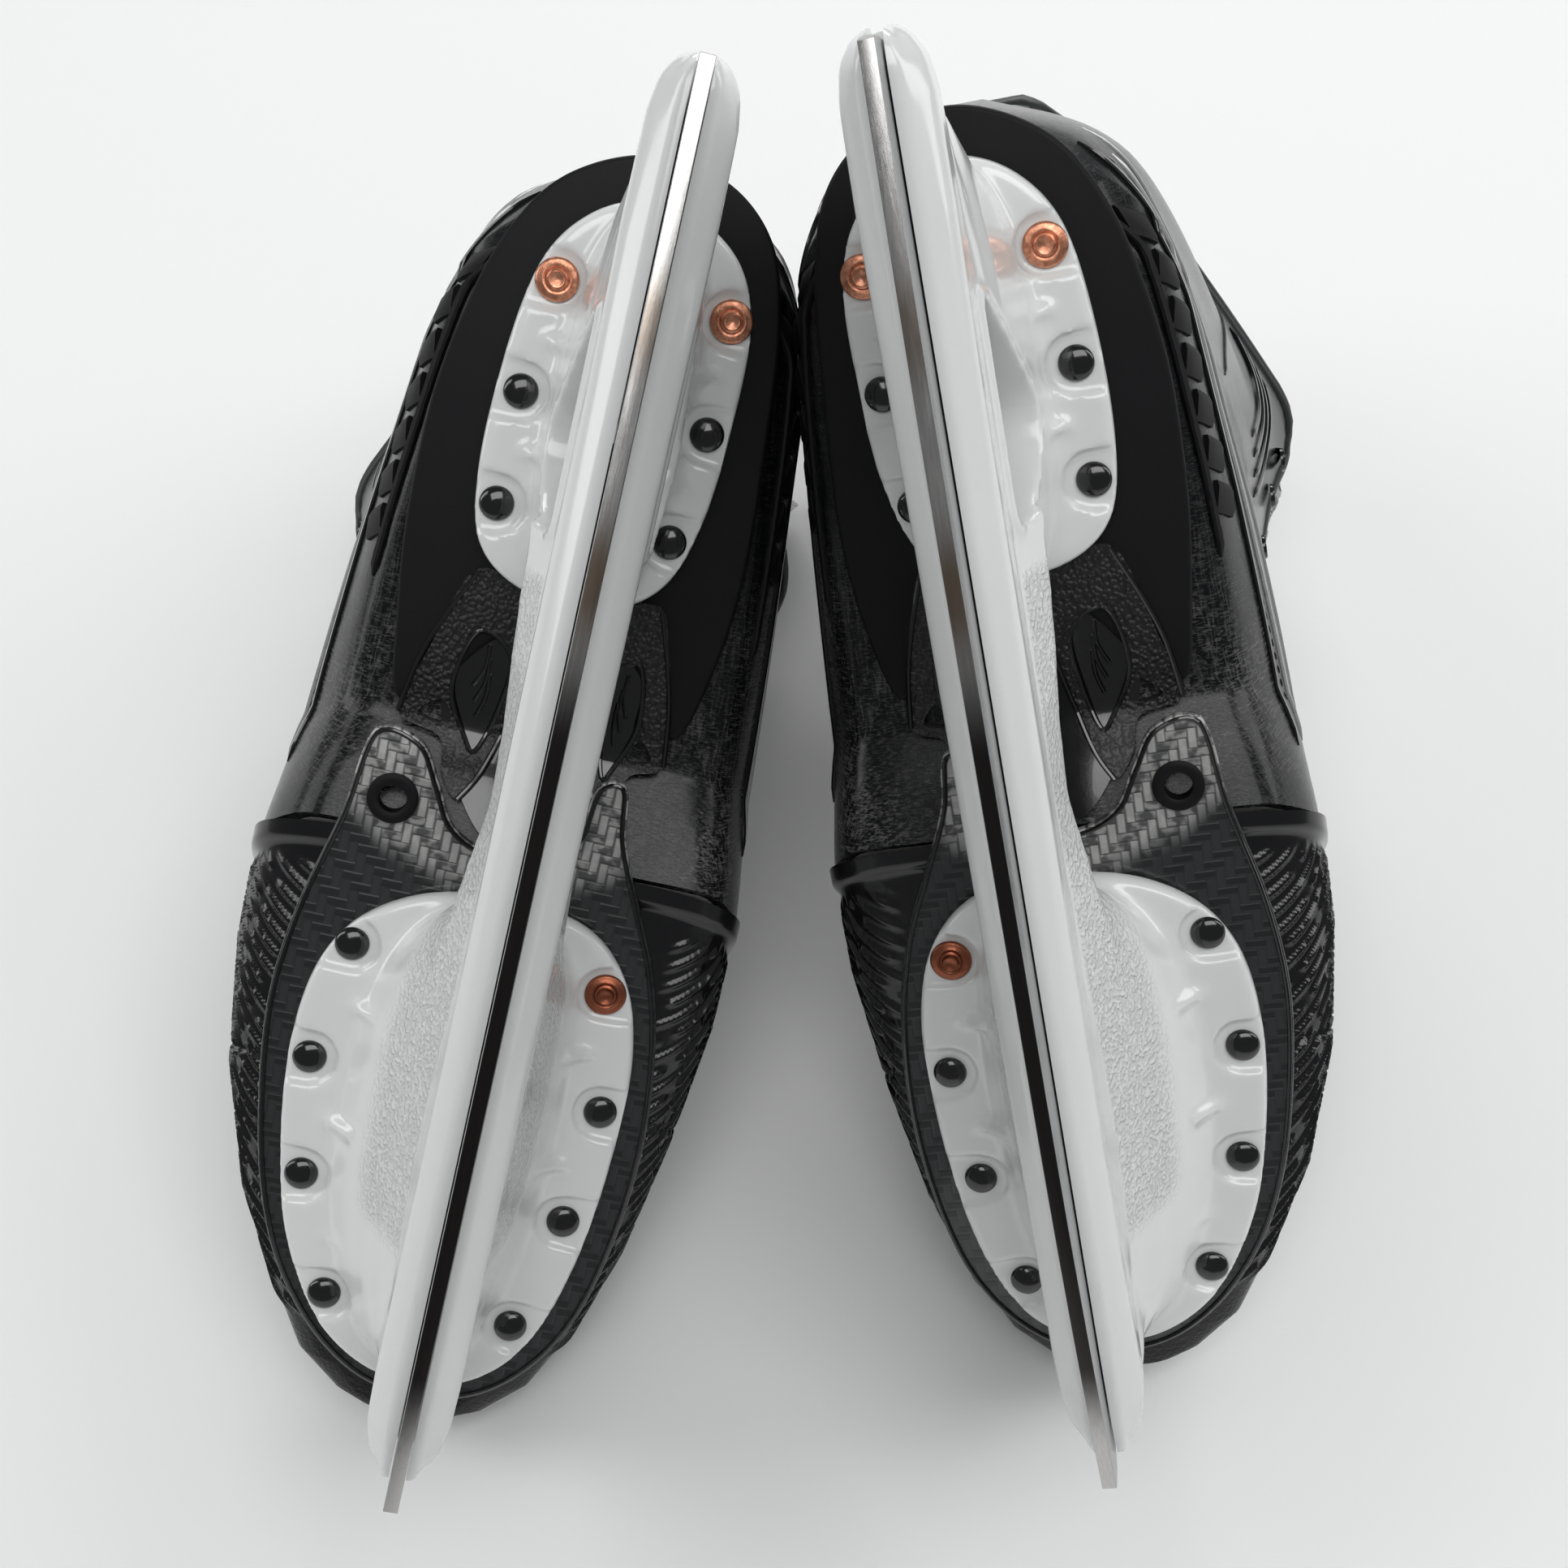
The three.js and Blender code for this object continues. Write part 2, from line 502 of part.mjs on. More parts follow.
function liner() {
  const outside = SHELL_WALL + FIT;
  const wall = loft(PLACES.map((place) => wallRing(place, outside, outside + LINER_WALL, true)));
  // the fixed lining that closes the throat under the lace
  const places = [0, 0.6, 1.2, 1.8, LAST_LACED - 0.15];
  const vamp = loft(
    places.map((place) => {
      const cut = station(place);
      const reach = outerLine(cut).at(-1).x;
      const half = cut.edge - outside - LINER_WALL / 2;
      const flat = [];
      for (const u of [-1, -0.5, 0, 0.5, 1]) flat.push([reach - 0.2 + 5 * (1 - u * u), u]);
      for (const u of [1, 0, -1]) flat.push([reach - TONGUE_THICKNESS + 3 * (1 - u * u), u]);
      const points = flat.map(([s, u]) => new THREE.Vector2(s, u * half * (u > 0 ? 1 : cut.side)));
      return { flat: points, space: points.map((p) => slicePoint(cut, p.x, p.y)) };
    }),
  );
  return wall.add(vamp);
}

// the insole inside the toe cap: shares of the cap's length and half-widths
const INSOLE_TOE = [[0.205882, 28], [0.389706, 29], [0.647059, 24], [0.772059, 12]];

function insole() {
  const rest = SHELL_WALL + 2 * FIT + LINER_WALL;
  const ring = (points, toSpace) => {
    const flat = points.map(([s, y]) => new THREE.Vector2(s, y));
    return { flat, space: flat.map(toSpace) };
  };
  const slab = (low, half, side) =>
    [[low, -half * side], [low, half], [low + INSOLE, half], [low + INSOLE, -half * side]];
  const rear = [4.55, 4, 3, 2, 1, 0].map((place) => {
    const cut = station(place);
    return ring(slab(rest + (place ? 0 : RAISE), cut.flat - 10, cut.side), (p) => slicePoint(cut, p.x, p.y));
  });
  const floor = FORE_SOLE + SHELL_WALL + LINER_WALL + RAISE;
  const toe = INSOLE_TOE.map(([share, half]) => {
    const x = lerp(STATIONS[0].back[0], BOOT_LENGTH, share);
    return ring(slab(floor, half, inner.fore), (p) => new THREE.Vector3(x, p.y, p.x));
  });
  return loft([...rear, ...toe]);
}

// ---------------------------------------------------------------- toe cap
// Rings run from the slice where the shell ends to the front of the toe.
const CAP_RINGS = [
  { t: 0, top: 138, outer: BALL_HALF + 1.5, inner: 49.5 },
  { t: 0.2, top: 135, outer: BALL_HALF + 1.5, inner: 49.5 },
  { t: 0.44, top: 129, outer: BALL_HALF - 2, inner: 46 },
  { t: 0.66, top: 121, outer: BALL_HALF - 10, inner: 41 },
  { t: 0.83, top: 113, outer: BALL_HALF - 21, inner: 34 },
  { t: 0.93, top: 105, outer: BALL_HALF - 29, inner: 27 },
  { t: 0.985, top: 97, outer: BALL_HALF - 39, inner: 18 },
  { t: 1, top: 91, outer: BALL_HALF - 45, inner: 12 },
];

function capRing(ring, depth, floor) {
  const first = station(0);
  const low = floor ?? FORE_SOLE + 3 * ring.t ** 2;
  const lean = (first.face[0] - first.back[0]) * (1 - ring.t) ** 1.3;
  const x0 = lerp(first.back[0] + FIT, BOOT_LENGTH, ring.t);
  const top = ring.top - depth;
  const flat = [];
  const count = 20;
  for (let i = 0; i < count; i++) {
    const turn = ((i + 0.5) / count) * Math.PI * 2;
    const c = Math.cos(turn);
    const s = Math.sin(turn);
    const half = (c > 0 ? ring.outer : ring.inner) - depth;
    const power = s > 0 ? 2.3 : 3.6;
    const y = half * Math.sign(c) * Math.abs(c) ** (2 / power);
    const middle = lerp(low, top, 0.36);
    const z = middle + (s > 0 ? top - middle : middle - low) * Math.sign(s) * Math.abs(s) ** (2 / power);
    flat.push(new THREE.Vector2(y, z));
  }
  const height = first.face[1] - first.back[1];
  const space = flat.map((p) => new THREE.Vector3(x0 + (lean * (p.y - FORE_SOLE)) / height, p.x, p.y));
  return { flat, space };
}

function toeCap() {
  const outside = loft(CAP_RINGS.map((ring) => capRing(ring, 0)));
  const floor = FORE_SOLE + SHELL_WALL + LINER_WALL;
  const cavity = CAP_RINGS.slice(0, -2).map((ring) => capRing(ring, TOE_CAP_WALL, floor));
  for (const p of cavity[0].space) p.x -= 4;
  for (const p of cavity.at(-1).space) p.x -= 1;
  return outside.subtract(loft(cavity));
}

// ---------------------------------------------------------------- tongue, tendon guard and lace
// centre line of the free tongue in x and z with its half-width, from the last laced row to its top
function tongueLine() {
  const inside = SHELL_WALL + FIT + LINER_WALL + 4;
  const points = [LAST_LACED, 3.5, 4.6, 6, 8].map((place) => {
    const cut = station(place);
    const back = TONGUE_THICKNESS / 2;
    const along = new THREE.Vector2(cut.face[0] - cut.back[0], cut.face[1] - cut.back[1]).normalize();
    return [cut.face[0] - along.x * back, cut.face[1] - along.y * back, (cut.edge - inside) * cut.side];
  });
  points.push([111, 251, 47], [108, 265, 58], [108, 277, 58]);
  return points;
}

// the tongue flexes about a line across its lower end
const TONGUE_HINGE = tongueLine()[0];

// the tongue's section: shares of its half-width and of its thickness
const TONGUE_SECTION = [
  [-1, 0.5], [-0.55, 0.5], [0, 0.5], [0.55, 0.5], [1, 0.5],
  [1, -0.2], [0.5, -0.5], [-0.5, -0.5], [-1, -0.2],
];

function tongue() {
  const line = tongueLine();
  const rings = line.map(([x, z, half], i) => {
    const before = line[Math.max(i - 1, 0)];
    const after = line[Math.min(i + 1, line.length - 1)];
    const along = new THREE.Vector2(after[0] - before[0], after[1] - before[1]).normalize();
    const out = new THREE.Vector2(along.y, -along.x); // towards the shin's front
    const flat = TONGUE_SECTION.map(([u, depth]) => {
      const wrap = 0.32 * half * u * u * (depth > 0 ? 1 : 0.9);
      return new THREE.Vector2(u * half, depth * TONGUE_THICKNESS - wrap);
    });
    return { flat, space: flat.map((p) => new THREE.Vector3(x + out.x * p.y, p.x, z + out.y * p.y)) };
  });
  return loft(rings);
}

// a curved flap standing on the back of the collar: height, set-back and width of each ring
const GUARD_RINGS = [[0, 0, 1], [0.3, 1, 0.94], [0.65, 1, 0.82], [0.9, 1.5, 0.62], [1, 2, 0.4]];
const GUARD_HEIGHT = 55;

function tendonGuard() {
  const { back, face } = station(STATIONS.length - 1);
  const slope = (face[1] - back[1]) / (face[0] - back[0]);
  const top = back[1] + GUARD_HEIGHT;
  const rings = GUARD_RINGS.map(([t, shift, width]) => {
    const curl = (u) => 30 * Math.abs(u) ** 2.2 * width;
    const flat = [-1, -0.8, -0.5, 0, 0.5, 0.8, 1].map((u) => new THREE.Vector2(34 * u * width, curl(u)));
    for (const u of [0.94, 0.72, 0.4, 0, -0.4, -0.72, -0.94])
      flat.push(new THREE.Vector2(31 * u * width, curl(u) + width + 4.5 * (1 - 0.5 * Math.abs(u))));
    const space = flat.map((p) => {
      const x = back[0] - 1 + shift + p.y;
      const collar = back[1] + slope * (x - back[0]) + 2 * FIT;
      return new THREE.Vector3(x, p.x, lerp(collar, top, t));
    });
    return { flat, space };
  });
  return loft(rings);
}

function lace() {
  const rows = [0.35, 0.95, 1.6, 2.2];
  const lift = LACE_DIAMETER / 2 + 0.9;
  const at = (row, side, height) => {
    const cut = station(rows[row]);
    const reach = outerLine(cut).at(-1).x;
    const half = side * (cut.edge - 2) * (side > 0 ? 1 : cut.side);
    return slicePoint(cut, reach + height, half);
  };
  const cross = (row, height) => {
    const cut = station((rows[row] + rows[row + 1]) / 2);
    return slicePoint(cut, outerLine(cut).at(-1).x + 5 + height, 0);
  };
  const points = [at(3, -1, lift)];
  for (let row = 2; row >= 0; row--)
    points.push(cross(row, lift), at(row, row % 2 ? -1 : 1, lift));
  const start = station(rows[0]);
  points.push(slicePoint(start, outerLine(start).at(-1).x + 5 + lift, 0), at(0, -1, lift));
  const overUnder = lift + LACE_DIAMETER + 0.8;
  for (let row = 0; row < 3; row++)
    points.push(cross(row, overUnder), at(row + 1, row % 2 ? -1 : 1, lift));
  const ring = new THREE.Shape();
  ring.absarc(0, 0, LACE_DIAMETER / 2, 0, Math.PI * 2);
  const path = new THREE.CatmullRomCurve3(points, false, "centripetal");
  const settings = { extrudePath: path, steps: 36, curveSegments: 4, bevelEnabled: false };
  return solid(new THREE.ExtrudeGeometry(ring, settings));
}

// ---------------------------------------------------------------- one skate
function makeSkate(side, flex) {
  const skate = new THREE.Group();
  const add = (name, made, material) => {
    const mesh = new THREE.Mesh(geometryOf(made), material);
    mesh.name = `${side}_${name}`;
    skate.add(mesh);
    return mesh;
  };
  add("holder", holder(), materials.white);
  add("runner", runner(), materials.steel);
  add("trigger", trigger(), materials.white);
  add("trigger_pin", triggerPin(), materials.steel);
  add("trigger_spring", triggerSpring(), materials.steel);
  add("forefoot_plate", forePlate(), materials.carbon);
  add("heel_plate", heelPlate(), materials.outsole);
  add("shank", shank(), materials.outsole);
  add("shell", shell(), materials.shell);
  add("liner", liner(), materials.lining);
  add("insole", insole(), materials.lining);
  add("toe_cap", toeCap(), materials.cap);
  const [hingeX, hingeZ] = TONGUE_HINGE;
  const flap = add("tongue", tongue().translate([-hingeX, 0, -hingeZ]), materials.felt);
  flap.position.set(hingeX, 0, hingeZ);
  flap.rotation.y = THREE.MathUtils.degToRad(flex);
  add("tendon_guard", tendonGuard(), materials.shell);
  add("lace", lace(), materials.lace);
  const ring = add("grommet", grommet(), materials.cap);
  ring.position.set(GROMMET.x, GROMMET.y, FORE_PAD + PAD_THICKNESS + FIT);
  for (const [name, { x, y, z }] of Object.entries(RIVETS)) {
    const copper = name.startsWith("copper");
    const material = copper ? materials.copper : materials.rivet;
    const rivet = add(name, copper ? copperRivet() : blackRivet(), material);
    rivet.position.set(x, y, z);
  }
  return skate;
}

// ---------------------------------------------------------------- the pair, upside down
// Each skate is turned (in degrees, about Z, then its own Y, then its own X) until its toe cap and the top
// of its tongue are level, and then lowered to the floor. `heel` is the place of its heel tip from above.
const LAY = {
  left: { turn: [-108.64, 43.47, 162.13], flex: 0.7, heel: [-0.8, 14], mirror: 1 },
  right: { turn: [-73.44, 50.01, -157.82], flex: 16.3, heel: [0.8, 0], mirror: -1 },
};
const HEEL_TIPS_APART = 23;

function layDown(side) {
  const { turn, flex, heel, mirror } = LAY[side];
  const skate = makeSkate(side, flex);
  skate.scale.y = mirror;
  const [z, y, x] = turn.map(THREE.MathUtils.degToRad);
  skate.rotation.set(x, y, z, "ZYX");
  skate.position.set(heel[0] - (mirror * HEEL_TIPS_APART) / 2, heel[1], 0);
  skate.updateMatrixWorld(true);
  skate.position.z = -new THREE.Box3().setFromObject(skate, true).min.z;
  return skate;
}

const pair = new THREE.Group();
pair.add(layDown("left"), layDown("right"));

// the origin is under the middle of the pair's box, on the floor
pair.updateMatrixWorld(true);
const middle = new THREE.Box3().setFromObject(pair, true).getCenter(new THREE.Vector3());
for (const skate of pair.children) skate.position.sub(new THREE.Vector3(middle.x, middle.y, 0));

export default pair;
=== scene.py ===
"""A pair of ice hockey skates lying sole up. Each piece is built upright in its own skate's frame, in
millimetres: x to the toe from the steel's heel tip, y to the outside of the foot, z up from the ice. It is then
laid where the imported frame's joints say that skate lies."""
import json
import math

import bmesh
import bpy
import numpy as np
from mathutils import Matrix, Vector
from mathutils.kdtree import KDTree


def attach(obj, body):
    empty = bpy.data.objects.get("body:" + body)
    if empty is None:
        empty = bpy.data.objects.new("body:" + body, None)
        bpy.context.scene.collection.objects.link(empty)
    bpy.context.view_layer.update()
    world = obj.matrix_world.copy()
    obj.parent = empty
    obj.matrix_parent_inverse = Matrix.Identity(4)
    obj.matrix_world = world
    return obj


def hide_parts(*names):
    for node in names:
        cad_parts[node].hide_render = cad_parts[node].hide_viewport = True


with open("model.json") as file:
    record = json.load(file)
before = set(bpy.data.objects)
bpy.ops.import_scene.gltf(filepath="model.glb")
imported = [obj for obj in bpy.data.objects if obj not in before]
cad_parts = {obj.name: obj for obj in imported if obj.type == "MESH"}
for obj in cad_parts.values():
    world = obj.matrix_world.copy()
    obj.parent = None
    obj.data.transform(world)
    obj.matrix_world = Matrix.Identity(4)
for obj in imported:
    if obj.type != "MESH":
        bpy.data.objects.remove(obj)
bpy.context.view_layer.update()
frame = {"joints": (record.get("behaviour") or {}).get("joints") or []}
JOINTS = {joint["name"]: joint for joint in frame["joints"]}

# ---------------------------------------------------------------- sizes, in millimetres
STEEL_LENGTH, STEEL_HEIGHT, STEEL_HALF = 283, 28, 1.45
HEEL_RISE, TOE_RISE, FLAT_START, FLAT_END = 5.7, 8.3, 95, 190
BAND_TOP = 29  # top of the smooth band beside the steel
FORE_PAD, HEEL_PAD, PAD_THICKNESS = 62, 72, 4
PANEL = 1.5  # how far the raised panels stand below a rivet's seat
PLATE_THICKNESS, FIT = 2.5, 0.3
FORE_PLATE, HEEL_PLATE = FORE_PAD + PAD_THICKNESS + FIT, HEEL_PAD + PAD_THICKNESS + FIT
FORE_SOLE, HEEL_SOLE = FORE_PLATE + PLATE_THICKNESS + FIT, HEEL_PLATE + PLATE_THICKNESS + FIT
SHELL_WALL, LINER_WALL, TOE_CAP_WALL = 3, 5, 3
BOOT_LENGTH, ANKLE_HALF, BALL_HALF = 298, 66, 58
TONGUE_THICKNESS, LACE_DIAMETER = 8, 4
HOOK, PIVOT = (262, 34), (76, 61)  # x and z of the runner's hook and of the trigger's pin
HOOK_RADIUS, HOOK_ROOM = 5, 5.4
SEAT_RADIUS = 6.3
PIN_BORE, RIVET_BORE, GROMMET_BORE = 1.8, 2.0, 4.3
CUTTER_EDGE = 0.01  # a cutter's corners stay all but square
TURN = 2 * math.pi

RIVETS = {
    "copper_heel_outer": (42.8, 19.2, HEEL_PAD),
    "copper_heel_inner": (42.8, -17.1, HEEL_PAD),
    "copper_fore_inner": (186.3, -22, FORE_PAD),
    "rivet_heel_outer_1": (66.3, 21.8, HEEL_PAD),
    "rivet_heel_outer_2": (89.8, 22, HEEL_PAD),
    "rivet_heel_inner_1": (66.3, -17.3, HEEL_PAD),
    "rivet_heel_inner_2": (89.8, -14.6, HEEL_PAD),
    "rivet_fore_outer_1": (186.3, 32.5, FORE_PAD),
    "rivet_fore_outer_2": (212.9, 36.6, FORE_PAD),
    "rivet_fore_outer_3": (239.5, 33.5, FORE_PAD),
    "rivet_fore_outer_4": (266.2, 23.6, FORE_PAD),
    "rivet_fore_inner_1": (212.9, -26.6, FORE_PAD),
    "rivet_fore_inner_2": (239.5, -24, FORE_PAD),
    "rivet_fore_inner_3": (266.2, -17.8, FORE_PAD),
}
GROMMET = (154.5, 30.5)

FORE_PAD_OUTLINE = [
    (171, 12), (178, 29), (191, 38.5), (211, 41.3), (235, 39), (255, 34), (273, 24), (283, 9),
    (282.5, -9), (271, -22), (250, -28.7), (225, -31.4), (200, -31), (182, -25), (172, -12),
]
FORE_PLATE_OUTLINE = [
    (141, 37), (141.5, 27), (150, 21.5), (158, 17), (162, 9), (162, -3), (155, -9), (143.5, -11),
    (142, -17), (154, -19.5), (167, -25), (182, -31.5), (200, -36), (222, -38), (245, -36.5),
    (266, -31.5), (281, -22), (289, -9), (289, 8), (281, 22), (266, 34), (248, 41.5), (226, 46),
    (203, 48), (182, 45.8), (160, 40.5),
]
HEEL_PAD_OUTLINE = [
    (23, 2), (26, 12), (33.5, 20), (44, 24.4), (62, 26.8), (82, 27.3), (97, 24.8), (105, 17),
    (108, 4), (105, -9), (97, -17), (82, -21), (62, -22.2), (44, -21.6), (32, -17), (25, -8),
]
HEEL_PLATE_OUTLINE = [
    (14, 2), (16.5, 13), (23.5, 23.5), (34, 30.5), (48, 35.5), (70, 39.5), (96, 40), (118, 38),
    (135, 34.8), (130, 26), (119, 17), (113, 6), (113, -6), (119, -14), (132, -25), (114, -30.5),
    (92, -32), (62, -30), (42, -27.7), (26, -22.5), (16.5, -12),
]
WINDOW_OUTLINE = [
    (47, 32), (60, 31.5), (75, 31.5), (85.5, 32), (89, 36), (87, 44), (82, 52), (76, 56.5), (69, 56.5),
    (62, 50), (54, 41.5),
]

# ---------------------------------------------------------------- mesh helpers
def placed(name, data):
    """A new object in the scene."""
    made = bpy.data.objects.new(name, data)
    bpy.context.scene.collection.objects.link(made)
    return made


def mesh_of(points, faces):
    mesh = bpy.data.meshes.new("piece")
    mesh.from_pydata([tuple(float(v) for v in p) for p in points], [], [tuple(f) for f in faces])
    mesh.update()
    return mesh


def loft(rings, caps=True):
    """A skin over a row of closed rings with the same number of points."""
    count = len(rings[0])
    points = [p for ring in rings for p in ring]
    faces = []
    for i in range(len(rings) - 1):
        for j in range(count):
            a, b = i * count + j, i * count + (j + 1) % count
            faces.append((a, b, b + count, a + count))
    if caps:
        last = (len(rings) - 1) * count
        faces.append(tuple(range(count))[::-1])
        faces.append(tuple(range(last, last + count)))
    return facing_out(mesh_of(points, faces))


def facing_out(mesh):
    work = bmesh.new()
    work.from_mesh(mesh)
    bmesh.ops.recalc_face_normals(work, faces=work.faces)
    work.to_mesh(mesh)
    work.free()
    return mesh


def arc(centre, radius, angles):
    return np.array([(centre[0] + radius * math.cos(a), centre[1] + radius * math.sin(a)) for a in angles])


def circle(centre, radius, count):
    return arc(centre, radius, np.linspace(0, TURN, count, endpoint=False))


def powered(value, exponent):
    """A cosine or sine bent towards a boxier or a more pointed outline, with its sign kept."""
    return math.copysign(abs(value) ** exponent, value)


def spline(a, b, c, d, t):
    """The smooth curve's place between b and c, where a and d are the points before and after."""
    return 0.5 * (2 * b + (c - a) * t + (2 * a - 5 * b + 4 * c - d) * t**2 + (3 * b - a - 3 * c + d) * t**3)


def even(points, count, endpoint=True):
    """Points at even distances along a line that is already smooth."""
    points = np.array(points, float)
    reach = np.concatenate([[0], np.cumsum(np.linalg.norm(np.diff(points, axis=0), axis=1))])
    places = np.linspace(0, reach[-1], count, endpoint=endpoint)
    return np.stack([np.interp(places, reach, points[:, k]) for k in range(points.shape[1])], 1)


def curve(points, count, closed=True):
    """`count` points spread evenly along a smooth curve through the given ones."""
    p = np.array(points, float)
    row = np.vstack([p[-1:], p, p[:2]]) if closed else np.vstack([p[:1], p, p[-1:]])
    fine = [spline(*row[i:i + 4], t) for i in range(len(row) - 3) for t in np.linspace(0, 1, 24, endpoint=False)]
    return even(fine + [row[-2]], count, endpoint=not closed)


def grown(outline, distance):
    """A closed outline in x and y, moved outwards by a distance."""
    p = np.array(outline, float)
    along = np.roll(p, -1, 0) - np.roll(p, 1, 0)
    along /= np.linalg.norm(along, axis=1)[:, None]
    area = np.sum(p[:, 0] * np.roll(p[:, 1], -1) - np.roll(p[:, 0], -1) * p[:, 1])
    side = np.stack([along[:, 1], -along[:, 0]], 1) * (1 if area > 0 else -1)
    return p + side * distance


def slab(outline, low, high, edge=0.6, steps=4):
    """An outline raised between two heights, with round edges."""
    rings = []
    for z, turn in [(low, np.linspace(0, 1, steps)), (high, np.linspace(1, 0, steps))]:
        for t in turn:
            angle = t * TURN / 4
            inset = edge * (1 - math.sin(angle))
            lift = edge * (1 - math.cos(angle)) * (1 if z == low else -1)
            ring = grown(outline, -inset)
            rings.append([(x, y, z + lift) for x, y in ring])
    return loft(rings)


def side_slab(outline, y0, y1, edge=0.3):
    """An outline in x and z, between two places across the skate."""
    made = slab(outline, y0, y1, edge)
    for v in made.vertices:
        v.co = (v.co.x, v.co.z, v.co.y)
    return facing_out(made)


def lathe(profile, turns):
    """A profile of radius and height turned about an upright axis; it starts and ends on the axis or closes."""
    rings = [[(x, y, z) for x, y in circle((0, 0), r, turns)] for r, z in profile if r > 0]
    if profile[0][0] == 0:
        return loft(rings)
    return loft(rings + rings[:1], caps=False)


def tube(path, radius, sides=10, across=1.0):
    """A round bar along points; `across` flattens it."""
    path = np.array(path, float)
    rings = []
    up = np.array([0.3, 0.2, 1.0])
    for i, p in enumerate(path):
        along = path[min(i + 1, len(path) - 1)] - path[max(i - 1, 0)]
        along /= np.linalg.norm(along)
        side = np.cross(along, up)
        side /= np.linalg.norm(side)
        up = np.cross(side, along)
        r = radius[i] if np.ndim(radius) else radius
        rings.append([p + r * (c * side + across * s * up) for c, s in circle((0, 0), 1, sides)])
    return loft(rings)


def joined(*meshes):
    """Several meshes as one, left as they are."""
    points, faces = [], []
    for mesh in meshes:
        base = len(points)
        points += [tuple(v.co) for v in mesh.vertices]
        faces += [tuple(base + i for i in p.vertices) for p in mesh.polygons]
    return mesh_of(points, faces)


def shaped(mesh, *steps):
    """The mesh after a row of modifiers, each a type and its settings."""
    work = placed("work", mesh)
    helpers = []
    for kind, settings in steps:
        modifier = work.modifiers.new(kind, kind)
        for name, value in settings.items():
            if isinstance(value, bpy.types.Mesh):
                value = placed("helper", value)
                helpers.append(value)
            setattr(modifier, name, value)
    done = bpy.data.meshes.new_from_object(work.evaluated_get(bpy.context.evaluated_depsgraph_get()))
    for o in [work, *helpers]:
        bpy.data.objects.remove(o)
    return done


def remeshed(mesh, size):
    return shaped(mesh, ("REMESH", {"mode": "VOXEL", "voxel_size": size, "adaptivity": 0}))


def smoothed(mesh, rounds):
    return shaped(mesh, ("SMOOTH", {"iterations": rounds, "factor": 0.5}))


def solid_sum(mesh, operation, *others):
    return shaped(mesh, *[("BOOLEAN", {"operation": operation, "solver": "MANIFOLD", "object": o}) for o in others])


def cut(mesh, *cutters):
    return solid_sum(mesh, "DIFFERENCE", *cutters)


def common(mesh, other):
    return solid_sum(mesh, "INTERSECT", other)


def joined_solids(meshes):
    """Several solids as one that the cutter can take."""
    whole = meshes[0]
    for other in meshes[1:]:
        whole = solid_sum(whole, "UNION", other)
    return whole


def outward(grid):
    """The normal at each point of a grid of rings, turned away from the middle of its ring."""
    out = np.cross(np.gradient(grid, axis=0), np.gradient(grid, axis=1))
    out /= np.linalg.norm(out, axis=2)[:, :, None] + 1e-9
    core = grid.mean(axis=1)[:, None, :]
    return out * np.sign(np.sum(out * (grid - core), axis=2))[:, :, None]


# ---------------------------------------------------------------- where each skate lies
def lay_matrix(side):
    """From a skate's own frame in millimetres to the scene's in metres, worked out from its two lower hinges."""
    hook = np.array(JOINTS[side + "_runner_release"]["pos_m"])
    pivot = np.array(JOINTS[side + "_trigger_pull"]["pos_m"])
    across = -np.array(JOINTS[side + "_runner_release"]["axis"])
    across /= np.linalg.norm(across)
    ahead = (hook - pivot) / np.linalg.norm(hook - pivot)
    square = np.cross(ahead, across)
    tilt = math.atan2(HOOK[1] - PIVOT[1], HOOK[0] - PIVOT[0])
    x_axis = math.cos(tilt) * ahead - math.sin(tilt) * square
    z_axis = math.sin(tilt) * ahead + math.cos(tilt) * square
    y_axis = across if side == "left" else -across
    origin = hook - (HOOK[0] * x_axis + HOOK[1] * z_axis) / 1000
    matrix = np.eye(4)
    matrix[:3, :3] = np.stack([x_axis, y_axis, z_axis], 1) / 1000
    matrix[:3, 3] = origin
    return Matrix(matrix.tolist())


SIDES = ("left", "right")
LAY = {side: lay_matrix(side) for side in SIDES}


def put(mesh, side, name, material, slot, node=None, body="skate", sharp=40):
    """Lays a piece's mesh on its skate and makes it ride. `node` is the solid it replaces, if any."""
    mesh = mesh.copy()
    own = np.array([v.co for v in mesh.vertices], np.float32)
    mesh.attributes.new("own", "FLOAT_VECTOR", "POINT").data.foreach_set("vector", own.ravel())
    mesh.transform(LAY[side])
    if side == "right":
        mesh.flip_normals()
    mesh.polygons.foreach_set("use_smooth", [True] * len(mesh.polygons))
    mesh.set_sharp_from_angle(angle=math.radians(sharp))
    mesh.materials.clear()
    mesh.materials.append(material)
    piece = placed(f"{side}_{name}", mesh)
    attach(piece, f"{side}_{body}")
    if node:
        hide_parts(f"{side}_{node}")
    return piece


# ---------------------------------------------------------------- materials
class Socket:
    """A value in a material; arithmetic on it adds Math nodes."""

    def __init__(self, finish, end):
        self.finish, self.end = finish, end

    def maths(self, operation, *values):
        return self.finish.node("Math", {"operation": operation}, values)

    def __add__(self, other):
        return self.maths("ADD", self, other)

    def __sub__(self, other):
        return self.maths("SUBTRACT", self, other)

    def __rsub__(self, other):
        return self.maths("SUBTRACT", other, self)

    def __mul__(self, other):
        return self.maths("MULTIPLY", self, other)

    def __lt__(self, other):
        return self.maths("LESS_THAN", self, other)

    def __mod__(self, other):
        return self.maths("FLOORED_MODULO", self, other)

    def __abs__(self):
        return self.maths("ABSOLUTE", self)

    def floor(self):
        return self.maths("FLOOR", self)

    __radd__, __rmul__ = __add__, __mul__


